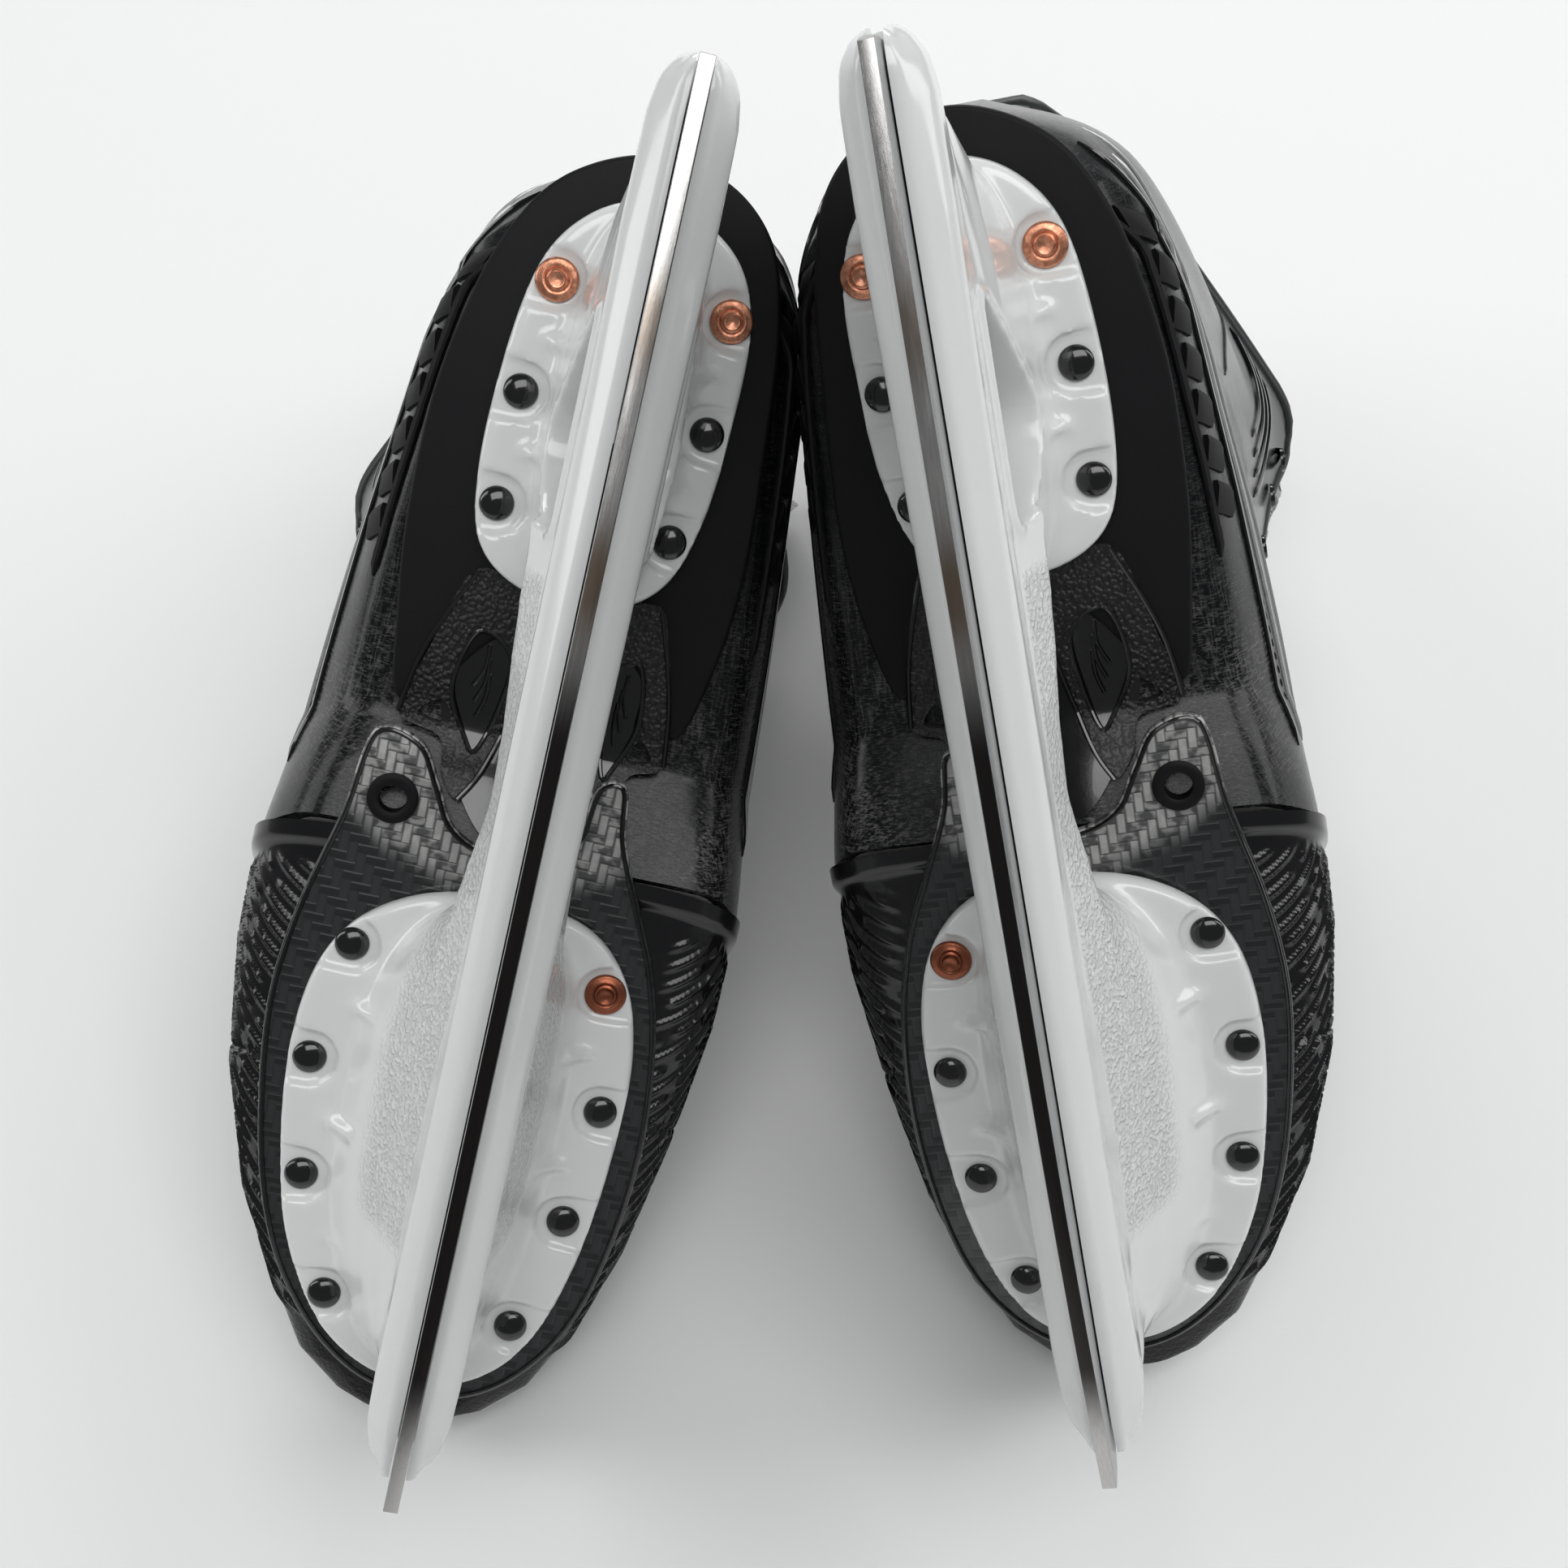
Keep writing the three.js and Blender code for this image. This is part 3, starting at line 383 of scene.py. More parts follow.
def colour(shade):
    """A shader colour from a grey level, three levels, or another socket's."""
    if isinstance(shade, Socket):
        return shade
    return (*shade, 1) if np.ndim(shade) else (shade, shade, shade, 1)


class Finish:
    """A material under construction. Its places are in millimetres in the skate's own frame."""

    def __init__(self, name, **constants):
        self.material = bpy.data.materials.new(name)
        self.material.use_nodes = True
        self.tree = self.material.node_tree
        self.shader = self.tree.nodes["Principled BSDF"]
        self.own = self.node("Attribute", {"attribute_name": "own"}, output="Vector")
        self.x, self.y, self.z = [self.node("SeparateXYZ", {}, [self.own], output=i) for i in range(3)]
        for key, value in constants.items():
            self.shader.inputs[key.replace("_", " ").title().replace("Ior", "IOR")].default_value = value

    def node(self, kind, settings, values=(), output=0):
        made = self.tree.nodes.new("ShaderNode" + kind)
        for key, value in settings.items():
            setattr(made, key, value)
        pairs = values.items() if isinstance(values, dict) else enumerate(values)
        for key, value in pairs:
            self.feed(made.inputs[key], value)
        return Socket(self, made.outputs[output])

    def feed(self, end, value):
        if isinstance(value, Socket):
            self.tree.links.new(value.end, end)
        else:
            end.default_value = value

    def noise(self, scale, detail=3, roughness=0.5, stretch=(1, 1, 1), distortion=0):
        place = self.node("VectorMath", {"operation": "MULTIPLY"}, [self.own, stretch])
        return self.node("TexNoise", {}, {"Vector": place, "Scale": scale, "Detail": detail,
                                          "Roughness": roughness, "Distortion": distortion})

    def grains(self, scale):
        """Round pebbles, 1 at their tops."""
        gaps = self.node("TexVoronoi", {"feature": "SMOOTH_F1"}, {"Vector": self.own, "Scale": scale}, "Distance")
        return 1 - gaps

    def waves(self, direction, scale, distortion=0.0):
        return self.node("TexWave", {"bands_direction": direction},
                         {"Vector": self.own, "Scale": scale, "Distortion": distortion})

    def ramp(self, value, low, high):
        """0 below low, 1 above high, smooth between."""
        return self.node("MapRange", {"interpolation_type": "SMOOTHSTEP"}, [value, low, high, 0.0, 1.0])

    def near(self, value, middle, half, soft=1.0):
        """1 where the value is within `half` of `middle`, else 0."""
        return 1 - self.ramp(abs(value - middle), half - soft / 2, half + soft / 2)

    def blend(self, mask, a, b):
        return self.node("Mix", {"data_type": "RGBA"}, {0: mask, 6: colour(a), 7: colour(b)}, output=2)

    def set(self, name, value):
        self.feed(self.shader.inputs[name], value)

    def done(self, base, roughness, height=None, depth=0.0):
        """The finished material. `depth` is the bump's, in millimetres for a height that goes from 0 to 1."""
        self.set("Base Color", base)
        self.set("Roughness", roughness)
        if height is not None:
            self.set("Normal", self.node("Bump", {}, {"Height": height, "Distance": depth / 1000, "Strength": 1.0}))
        return self.material


def white_plastic():
    """Moulded white plastic: smooth bands beside the steel, leather grain on the flanks between the towers."""
    paint = Finish("white_plastic", coat_weight=0.45, coat_roughness=0.07, ior=1.5)
    flank = paint.ramp(abs(paint.y), 7.3, 8.0) * paint.ramp(paint.z, 31.6, 33.2) * (1 - paint.ramp(paint.z, 46, 53))
    bridge = paint.ramp(paint.x, 96, 100) * (1 - paint.ramp(paint.x, 236, 243))
    grained = flank * bridge
    grain = paint.ramp(paint.grains(1.15) + paint.noise(1.6, 2) * 0.5, 0.5, 1.05)
    body = paint.blend(paint.noise(0.02, 3), (0.70, 0.715, 0.71), (0.78, 0.79, 0.78))
    body = paint.blend(grained * (1 - grain) * 0.7, body, (0.56, 0.565, 0.56))
    scuffs = paint.ramp(paint.noise(0.35, 5, 0.7, (0.15, 1, 1)), 0.66, 0.73) * 0.4
    worn = scuffs * paint.ramp(paint.z, 30, 24)
    tone = paint.blend(worn, body, (0.48, 0.49, 0.5))
    return paint.done(tone, 0.2 + grained * 0.3 + worn * 0.3, grain * grained, 0.45)


def blade_steel():
    """Polished steel: bright at both ends, a painted dark reflection near black along the middle, a warm band ahead
    of the heel.
    """
    paint = Finish("blade_steel", metallic=1.0)
    streaks = paint.noise(3.0, 4, 0.6, (0.03, 1, 0.9))
    fine = paint.noise(14.0, 2, 0.5, (0.01, 1, 1))
    edge = 1 - paint.ramp(abs(paint.y), 1.32, 1.42)
    bright = paint.blend(streaks, (0.40, 0.39, 0.38), (0.72, 0.71, 0.69))
    side = paint.blend(streaks, (0.24, 0.24, 0.245), (0.45, 0.45, 0.455))
    # painted dark reflection: the steel between the bright ends is painted near black
    dark = paint.ramp(paint.x, 96, 122) * (1 - paint.ramp(paint.x, 250, 272))
    bands = paint.near(paint.x, 92, 9, 14) + paint.near(paint.x, 47, 8, 12) * 0.7
    tone = paint.blend(dark * 0.95, bright, (0.018, 0.014, 0.013))
    tone = paint.blend(bands * 0.8, tone, (0.20, 0.125, 0.065))
    return paint.done(paint.blend(edge, side, tone), 0.17 + streaks * 0.14, fine, 0.012)


def copper():
    """Copper, bright at the heel and browned by water at the forefoot."""
    paint = Finish("copper", metallic=1.0)
    tarnish = paint.noise(0.9, 4, 0.6)
    tone = paint.blend(paint.ramp(tarnish, 0.35, 0.65), (0.80, 0.37, 0.23), (0.50, 0.21, 0.13))
    tone = paint.blend(paint.ramp(paint.x, 120, 140) * 0.85, tone, (0.24, 0.07, 0.036))
    return paint.done(tone, 0.24 + tarnish * 0.25, paint.noise(2.4, 3), 0.05)


def black_gloss():
    paint = Finish("black_gloss", coat_weight=0.5, coat_roughness=0.02)
    tone = paint.blend(paint.noise(0.5, 3), 0.002, 0.005)
    return paint.done(tone, 0.1 + paint.noise(1.2, 4) * 0.1, paint.noise(1.5, 2), 0.008)


def carbon():
    """A two-by-two twill under clear resin, silver where the rear of the plate catches the light."""
    paint = Finish("carbon", coat_weight=0.8, coat_roughness=0.04, ior=1.5)
    tow = 2.1  # a thread bundle's width
    column = paint.x * (1 / tow) + 0.13 * paint.noise(0.12, 2)
    row = paint.y * (1 / tow) + 0.13 * paint.noise(0.1, 2)
    over = ((column.floor() + row.floor()) % 4.0) < 1.5
    ridge_u = 1 - abs(column - column.floor() - 0.5) * 2
    ridge_v = 1 - abs(row - row.floor() - 0.5) * 2
    crown = paint.ramp(over * ridge_v + (1 - over) * ridge_u, 0.0, 0.5)
    threads = paint.noise(4.0, 2, 0.5, (0.3, 3, 1)) * over + paint.noise(4.0, 2, 0.5, (3, 0.3, 1)) * (1 - over)
    reach = paint.x + abs(paint.y - 8) * 0.55
    lit = 1 - paint.ramp(reach + paint.noise(0.07, 2) * 16, 178, 188)
    glint = paint.ramp(paint.noise(0.42, 1), 0.42, 0.62)
    dark = paint.blend(over, (0.005, 0.006, 0.007), (0.024, 0.027, 0.028))
    bright = paint.blend(over, 0.10, (0.46, 0.46, 0.45))
    bright = paint.blend(glint * 0.6, bright, (0.62, 0.62, 0.60))
    tone = paint.blend(lit * 0.95, dark, bright)
    tone = paint.blend((1 - crown) * 0.85, tone, (0.006, 0.007, 0.007))
    paint.set("Metallic", crown * 0.25)
    return paint.done(paint.blend(threads * 0.3, tone, 0.01), 0.3 + threads * 0.2, crown + threads * 0.15, 0.10)


def outsole():
    """Dull black moulding with faint scuffs across it."""
    paint = Finish("outsole", coat_weight=0.05, coat_roughness=0.4, specular_ior_level=0.18)
    haze = paint.noise(0.05, 4)
    marks = paint.ramp(paint.noise(0.5, 5, 0.7, (1, 0.2, 1)), 0.66, 0.72)
    tone = paint.blend(haze, (0.002, 0.002, 0.0025), (0.0055, 0.0055, 0.007))
    return paint.done(tone, 0.5 + haze * 0.2 + marks * 0.1, paint.noise(2.5, 3), 0.02)


def pebbled():
    """Black leather grain."""
    paint = Finish("pebbled", coat_weight=0.25, coat_roughness=0.2, specular_ior_level=0.35)
    grains = paint.grains(1.1)
    tone = paint.blend(grains, (0.003, 0.003, 0.0035), (0.013, 0.012, 0.012))
    return paint.done(tone, 0.34 + grains * 0.15, paint.ramp(grains, 0.3, 0.9), 0.35)


def composite():
    """Glossy black laminate; a loose open weave shows through it in streaks."""
    paint = Finish("composite", coat_weight=0.16, coat_roughness=0.13, specular_ior_level=0.22)
    weft = paint.noise(1.3, 3, 0.6, (0.10, 0.5, 3.0), 0.5)
    warp = paint.noise(1.3, 3, 0.6, (2.2, 0.5, 0.10), 0.5)
    weave = paint.ramp(weft, 0.48, 0.66) * 0.6 + paint.ramp(warp, 0.48, 0.64) * 0.7
    patch = paint.ramp(paint.noise(0.035, 3, 0.6, (0.7, 1, 0.5)), 0.36, 0.62)
    low = 1 - paint.ramp(paint.z, 150, 215)
    fore = paint.ramp(paint.x, 84, 125)
    show = weave * (0.25 + patch * 0.75) * low * (0.1 + fore * 0.9)
    tone = paint.blend(show * 0.9, (0.002, 0.0025, 0.003), (0.14, 0.14, 0.136))
    return paint.done(tone, 0.22 + show * 0.2, weave * low, 0.03)


def ridged_black():
    """Gloss black, turning matt and pebbled round the toe."""
    paint = Finish("ridged_black", coat_weight=0.4, coat_roughness=0.08, specular_ior_level=0.35)
    haze = paint.noise(0.08, 4)
    toe = paint.ramp(paint.x, 268, 285)
    tone = paint.blend(haze, (0.0015, 0.0015, 0.002), (0.005, 0.005, 0.006))
    return paint.done(tone, 0.18 + haze * 0.12 + toe * 0.25, paint.grains(1.3) * toe, 0.25)


def felt():
    """White wool felt, clumped, with rows of dark fibres near its sides."""
    paint = Finish("felt", sheen_weight=0.6, sheen_roughness=0.5)
    wool = paint.noise(1.4, 6, 0.75, (1, 1, 1), 1.4)
    clumps = paint.noise(0.35, 4, 0.6)
    rows = paint.ramp(paint.waves("Z", 0.055, 3.0), 0.72, 0.92)
    side = paint.ramp(abs(paint.y) + clumps * 12, 40, 52)
    tone = paint.blend(rows * side * 0.8, paint.blend(wool, (0.48, 0.48, 0.46), (0.82, 0.82, 0.79)), 0.12)
    return paint.done(tone, 0.85 + clumps * 0.12, wool * 0.7 + clumps, 1.2)


def lining():
    paint = Finish("lining", sheen_weight=0.3)
    rib = paint.waves("DIAGONAL", 0.42, 1.5)
    fuzz = paint.noise(2.0, 4)
    tone = paint.blend(rib * 0.6, (0.03, 0.03, 0.032), (0.11, 0.11, 0.112))
    return paint.done(tone, 0.8 + fuzz * 0.15, rib + fuzz * 0.5, 0.25)


def dark_edge():
    """The collar's binding: dark with a green cast."""
    paint = Finish("dark_edge", coat_weight=0.2, coat_roughness=0.25, specular_ior_level=0.4)
    weave = paint.noise(1.6, 3, 0.6, (0.4, 2, 2))
    tone = paint.blend(weave, (0.002, 0.004, 0.004), (0.006, 0.011, 0.0105))
    return paint.done(tone, 0.34 + weave * 0.2, weave, 0.08)


def waxed_lace():
    paint = Finish("waxed_lace", sheen_weight=0.2)
    braid = paint.waves("DIAGONAL", 1.1)
    return paint.done(paint.blend(braid, 0.02, 0.06), 0.55 + braid * 0.2, braid, 0.25)


def bright_piping():
    paint = Finish("bright_piping", coat_weight=0.6, coat_roughness=0.08)
    paint.set("Metallic", 0.3 + paint.noise(0.8, 2) * 0.2)
    return paint.done(paint.blend(paint.noise(0.6, 3), 0.30, 0.52), 0.18 + paint.noise(1.5, 2) * 0.1)


WHITE, STEEL, COPPER, GLOSS = white_plastic(), blade_steel(), copper(), black_gloss()
CARBON, OUTSOLE, PEBBLED, COMPOSITE = carbon(), outsole(), pebbled(), composite()
RIDGED, FELT, LINING, BINDING = ridged_black(), felt(), lining(), dark_edge()
LACE, PIPING = waxed_lace(), bright_piping()


# ---------------------------------------------------------------- runner
def steel_outline():
    """The steel seen from the side: rocker, nose, hook, top with its tang, and heel."""
    rear = [(x, HEEL_RISE * (1 - x / FLAT_START) ** 2) for x in np.linspace(0.4, FLAT_START, 24)]
    front = [(x, TOE_RISE * ((x - FLAT_END) / (STEEL_LENGTH - FLAT_END)) ** 2)
             for x in np.linspace(FLAT_END, STEEL_LENGTH - 0.4, 24)]
    nose = [(STEEL_LENGTH, TOE_RISE + 2), (STEEL_LENGTH - 0.6, TOE_RISE + 6), (STEEL_LENGTH - 4, STEEL_HEIGHT - 9),
            (STEEL_LENGTH - 8.5, STEEL_HEIGHT - 2.5), (STEEL_LENGTH - 10.5, STEEL_HEIGHT)]
    hook = arc(HOOK, HOOK_RADIUS, np.linspace(-0.2, 1.2, 16) * math.pi)
    tang = [(258, STEEL_HEIGHT), (65, STEEL_HEIGHT), (66.6, 40), (59, 40), (56, STEEL_HEIGHT)]
    heel = [(9, STEEL_HEIGHT), (4, STEEL_HEIGHT - 3), (1.2, STEEL_HEIGHT - 9),
            (0, HEEL_RISE + 4), (0, HEEL_RISE + 1.5)]
    return np.vstack([rear, front, nose, hook, tang, heel])


def runner():
    return side_slab(steel_outline(), -STEEL_HALF, STEEL_HALF, 0.12)


# ---------------------------------------------------------------- holder
def rail_ring(x, bottom, half, top, outer, inner, lip=3.6):
    """The rail's section: lower lip, bevel, smooth band, then the bridge's flanks, one half-width each side."""
    band = min(BAND_TOP, top - 2)
    side = [(lip, bottom), (half - 1.6, bottom + 3.6), (half, bottom + 6), (half, band), (half - 0.7, band + 1)]
    right = side + [(outer, top - 2), (outer - 2, top)]
    left = side + [(inner, top - 2), (inner - 2, top)]
    return [(x, y, z) for y, z in right] + [(x, -y, z) for y, z in reversed(left)]


def rail():
    """The holder's long rail, from its heel tip to its nose."""
    # x, lower edge, half-width of the band, top, outer and inner half-width at the top, half-width of the lip
    rows = [
        (-1.6, 17.5, 2.8, 27, 2.6, 2.6, 1.6), (0.2, 14.6, 5.2, 30, 4.6, 4.6, 2.6),
        (4, 13.6, 7.4, 32, 6.6, 6.6, 3.4), (10, 13.5, 8.4, 34, 7.8, 7.8),
        (30, 13.5, 8.8, 38, 9.2, 8.6), (60, 13.5, 8.5, 41, 11.5, 9.2),
        (90, 13.5, 8.5, 44, 14, 9.6), (112, 13.5, 8.5, 45, 12.6, 9), (130, 13.5, 8.5, 43.5, 11, 8.8),
        (145, 13.5, 8.5, 43, 10.4, 8.8), (165, 13.5, 8.5, 44, 13.2, 10), (185, 13.5, 8.5, 46, 16, 11.5),
        (205, 13.5, 8.5, 46, 16.5, 11.5), (235, 13.5, 8.6, 44, 13, 10), (258, 13.8, 8.8, 42, 9.8, 8.8),
        (270, 14.4, 8.5, 40, 8.6, 8.2), (277, 15.4, 7.2, 36, 6.8, 6.6), (281, 17, 4.8, 32, 4, 4),
    ]
    rings = np.array([rail_ring(*row) for row in rows], float)
    xs = rings[:, 0, 0]
    want = np.concatenate([np.linspace(xs[0], 12, 14), np.linspace(14, 264, 90), np.linspace(266, xs[-1], 14)])
    return loft(between(rings, xs, want))


def between(rings, at, want):
    """Rings at the places wanted, each point on a straight line between those of the rings given."""
    lines = [[np.interp(want, at, rings[:, j, k]) for k in range(3)] for j in range(rings.shape[1])]
    return np.array(lines).transpose(2, 0, 1)


def tower(levels, count=96):
    """A skin through outlines in x and y at rising heights."""
    heights = [z for z, _ in levels]
    rings = np.array([np.column_stack([curve(outline, count), np.full(count, z)]) for z, outline in levels])
    return loft(between(rings, heights, np.linspace(heights[0], heights[-1], 28)))


def mound(rear, front, outer, inner, bow=0.0, count=16):
    """An outline of a tower, pointed at both ends, its widest place `bow` ahead of the middle."""
    points = []
    for i in range(count):
        angle = TURN * i / count
        c, s = math.cos(angle), math.sin(angle)
        x = (rear + front) / 2 + (front - rear) / 2 * powered(c, 0.86)
        points.append((x + bow * (1 - c * c), (outer if s > 0 else inner) * powered(s, 0.86)))
    return points


VOXEL, FINE_VOXEL = 0.8, 0.75  # how fine the holder is melted together, before and after its seats are cut


def holder():
    """The holder as one moulding: rail, two towers and their pads, rounded together, then cut for its fittings."""
    heel = tower([
        (24, mound(2, 118, 8.2, 8.2)), (32, mound(4, 119, 9.2, 8.8)), (44, mound(8, 118, 12, 10)),
        (56, mound(15, 114, 13.4, 11.2)), (66, mound(21, 111, 14.8, 12.2)), (70, mound(23.5, 110, 16.4, 13.6)),
        (73, mound(25.5, 108.5, 19, 16)),
    ])
    toe = tower([
        (24, mound(160, 277, 8.2, 8.2)), (33, mound(160, 277.5, 10, 9, -6)), (44, mound(162, 278, 17, 12, -12)),
        (52, mound(166, 278.5, 22.5, 14.5, -12)), (57.5, mound(170, 279, 26.4, 16.6, -9)),
        (60.2, mound(171, 279.5, 28.6, 18.6, -8)), (63, mound(172, 280, 32, 22, -7)),
    ])
    fore_panel = slab(curve(FORE_PAD_OUTLINE, 150), FORE_PAD - PANEL, FORE_PAD + PAD_THICKNESS, 1.1)
    heel_panel = slab(curve(HEEL_PAD_OUTLINE, 130), HEEL_PAD - PANEL, HEEL_PAD + PAD_THICKNESS, 1.1)
    body = remeshed(joined(rail(), heel, toe, fore_panel, heel_panel, *gussets(), *window_rims()), VOXEL)
    body = smoothed(body, 5)
    body = cut(body, scallops(), side_slab(curve(WINDOW_OUTLINE, 60), -30, 30, 0.2))
    body = smoothed(remeshed(body, FINE_VOXEL), 3)
    for cutter in (slot(), pocket(), *rivet_holes()):
        body = cut(body, cutter)
    return body


def gussets():
    """Small webs between the towers and the pads, in the gaps between the rivets."""
    made = []
    for x, y0, y1, pad in [(199.5, 24, 31, FORE_PAD), (226, 25, 32, FORE_PAD), (252, 19, 27, FORE_PAD),
                           (200, -17, -24, FORE_PAD), (226, -16, -24, FORE_PAD), (55, 14, 20, HEEL_PAD),
                           (78, 14, 20, HEEL_PAD), (55, -12, -18, HEEL_PAD), (78, -11, -17, HEEL_PAD)]:
        rings = []
        for t in np.linspace(0, 1, 6):
            y = y0 + (y1 - y0) * t
            drop = 6.5 * (1 - t) ** 1.3
            rings.append([(x - 2.2 * (1 - 0.6 * t), y, pad + 1), (x + 2.2 * (1 - 0.6 * t), y, pad + 1),
                          (x + 0.7, y, pad - PANEL - drop), (x - 0.7, y, pad - PANEL - drop)])
        made.append(loft(rings))
    return made


def flank(z, side):
    """How far out the heel tower's flank stands at a place on the window's edge."""
    return side * ((9.4 if side > 0 else 8.9) + (z - 32) * (0.175 if side > 0 else 0.09))


def window_rims():
    """A raised lip round each mouth of the heel tower's window."""
    outline = curve(grown(WINDOW_OUTLINE, 0.9), 60)
    made = []
    for side in (1, -1):
        path = [(x, flank(z, side) - side * 0.2, z) for x, z in outline]
        made.append(tube(path + path[:2], 1.25, 10))
    return made


def scallops():
    """The U-shaped seat of each rivet, open to the pad's edge."""
    made = []
    for x, y, z in RIVETS.values():
        fine = curve(FORE_PAD_OUTLINE if z == FORE_PAD else HEEL_PAD_OUTLINE, 200)
        away = fine[np.argmin(np.hypot(fine[:, 0] - x, fine[:, 1] - y))] - (x, y)
        away /= np.linalg.norm(away)
        if abs(away[1]) > 0.5:
            away = np.array([0.25 * away[0], away[1]])
            away /= np.linalg.norm(away)
        side = np.array([-away[1], away[0]])
        bend = arc((0, 0), SEAT_RADIUS, np.linspace(-1.45, 1.45, 14))
        outline = [(x, y) + s * side - c * away for c, s in bend]
        outline += [(x, y) + SEAT_RADIUS * 1.12 * side + 16 * away, (x, y) - SEAT_RADIUS * 1.12 * side + 16 * away]
        made.append(slab(outline, z - 6, z, 0.3, 2))
    return joined_solids(made)


def block(x0, x1, y0, y1, z0, z1):
    return slab([(x0, y0), (x1, y0), (x1, y1), (x0, y1)], z0, z1, CUTTER_EDGE, 2)


def slot():
    """The groove that the steel sits in, with the room for its hook and tang."""
    half = STEEL_HALF + FIT
    groove = block(-6, STEEL_LENGTH + 9, -half, half, -5, STEEL_HEIGHT + 0.4)
    hook = side_slab(circle(HOOK, HOOK_ROOM, 32), -half, half, CUTTER_EDGE)
    throat = block(HOOK[0] - HOOK_ROOM, STEEL_LENGTH + 9, -half, half, 10, STEEL_HEIGHT + 4.4)
    tang = block(55, 69.5, -half, half, 20, 42)
    return joined_solids([groove, hook, throat, tang])


def pocket():
    """The hollow over the tang, where the trigger turns."""
    return block(55, 101, -6, 6, STEEL_HEIGHT + 3, HEEL_PAD - 5)


def rivet_holes():
    holes = [slab(circle((x, y), RIVET_BORE, 16), z - 8, z + 8, CUTTER_EDGE, 2) for x, y, z in RIVETS.values()]
    return holes + [side_slab(circle(PIVOT, PIN_BORE, 16), -9.5, 9.5, CUTTER_EDGE)]


# ---------------------------------------------------------------- rivets, grommet, plates
RIVET_RADIUS = 3.65


def black_rivet():
    dome = [(RIVET_RADIUS * math.sin(a), -0.35 - 1.65 * math.cos(a)) for a in np.linspace(0.18, 1.5, 10)]
    return lathe([(0, -2.0), *dome, (RIVET_RADIUS, -0.3), (1.75, -0.3), (1.75, 6.0), (0, 6.0)], turns=36)


def copper_rivet():
    profile = [(0, -2.75), (0.7, -2.8), (1.25, -3.1), (1.6, -3.15), (1.78, -2.9), (1.85, -1.75), (2.3, -1.5),
               (2.5, -1.65), (2.95, -1.7), (3.3, -1.45), (3.9, -1.35), (4.3, -1.2), (4.5, -0.85), (4.45, -0.4),
               (4.2, -0.3), (1.75, -0.3), (1.75, 6.0), (0, 6.0)]
    return lathe(profile, turns=40)


def grommet():
    return lathe([(3.0, -1.1), (3.25, -1.3), (5.0, -1.3), (5.4, -1.0), (5.4, -0.3), (4.0, -0.3),
                  (4.0, 2.5), (3.0, 2.5)], turns=40)


def fore_plate():
    body = slab(curve(FORE_PLATE_OUTLINE, 320), FORE_PLATE, FORE_PLATE + PLATE_THICKNESS, 0.5)
    hole = slab(circle(GROMMET, GROMMET_BORE, 32), FORE_PLATE - 2, FORE_PLATE + 6, CUTTER_EDGE, 2)
    return cut(body, hole)


def plate_rim():
    """The raised cord of resin round the carbon plate's edge."""
    outline = curve(grown(curve(FORE_PLATE_OUTLINE, 320), -0.9), 320)
    path = [(x, y, FORE_PLATE + 0.05) for x, y in outline]
    return tube(path + path[:2], 0.55, 8)


def heel_plate():
    return slab(curve(HEEL_PLATE_OUTLINE, 260), HEEL_PLATE, HEEL_PLATE + PLATE_THICKNESS, 1.0, 5)


def moved(mesh, offset):
    mesh = mesh.copy()
    mesh.transform(Matrix.Translation(offset))
    return mesh


# ---------------------------------------------------------------- boot: shell, liner, insole
# Slices of the boot: a point on the sole or back, a point on the facing's edge (x and z), the share of the
# slice where its corner is and how full it is there, then half-widths on the flat, at the widest place and at
# the facing.
STATIONS = np.array([
    (162, FORE_SOLE + 0.8, 204, 138, 0.05, 0.62, 39, BALL_HALF, 0.38, 36),
    (150, FORE_SOLE + 5, 192, 152, 0.05, 0.62, 36, BALL_HALF - 1, 0.38, 38),
    (139, HEEL_SOLE, 178, 168, 0.05, 0.62, 32, BALL_HALF - 2, 0.40, 41),
    (90, HEEL_SOLE, 164, 184, 0.06, 0.62, 30, ANKLE_HALF - 12, 0.45, ANKLE_HALF - 19),
    (45, HEEL_SOLE, 152, 199, 0.09, 0.62, 26, ANKLE_HALF - 14, 0.55, ANKLE_HALF - 15),
    (20, HEEL_SOLE + 6, 142, 212, 0.15, 0.62, 12, ANKLE_HALF - 12, 0.65, ANKLE_HALF - 11),
    (15, HEEL_SOLE + 32, 134, 222, 0.16, 0.62, 8, ANKLE_HALF - 10, 0.70, ANKLE_HALF - 8),
    (17, HEEL_SOLE + 70, 129, 229, 0.18, 0.52, 8, ANKLE_HALF - 8, 0.75, ANKLE_HALF - 5),
    (19, HEEL_SOLE + 110, 125, 235, 0.22, 0.45, 9, ANKLE_HALF - 5, 0.80, ANKLE_HALF - 2),
    (20, HEEL_SOLE + 142, 120, 240, 0.26, 0.42, 10, ANKLE_HALF - 2, 0.85, ANKLE_HALF),
], float)
INNER_FORE, INNER_ANKLE = 0.84, 0.86  # how much narrower the inner side is
LAST = len(STATIONS) - 1
LAST_LACED = 2.55
CURVED_FROM = 4.5  # from this slice up the back's line is curved, not straight between slices


def station(place):
    """The slice at a place between the listed ones, and how much narrower its inner side is."""
    i = int(min(max(math.floor(place), 0), LAST - 1))
    t = place - i
    a, b = STATIONS[i], STATIONS[i + 1]
    before, after = STATIONS[max(i - 1, 0)], STATIONS[min(i + 2, LAST)]
    cut_here = spline(before, a, b, after, t)
    if place <= CURVED_FROM:
        cut_here[:2] = (a + (b - a) * t)[:2]
    return cut_here, INNER_FORE + (INNER_ANKLE - INNER_FORE) * place / LAST


def reach_of(cut_here):
    """How far it is across a slice, from the sole or the back to the facing."""
    return math.hypot(cut_here[2] - cut_here[0], cut_here[3] - cut_here[1])


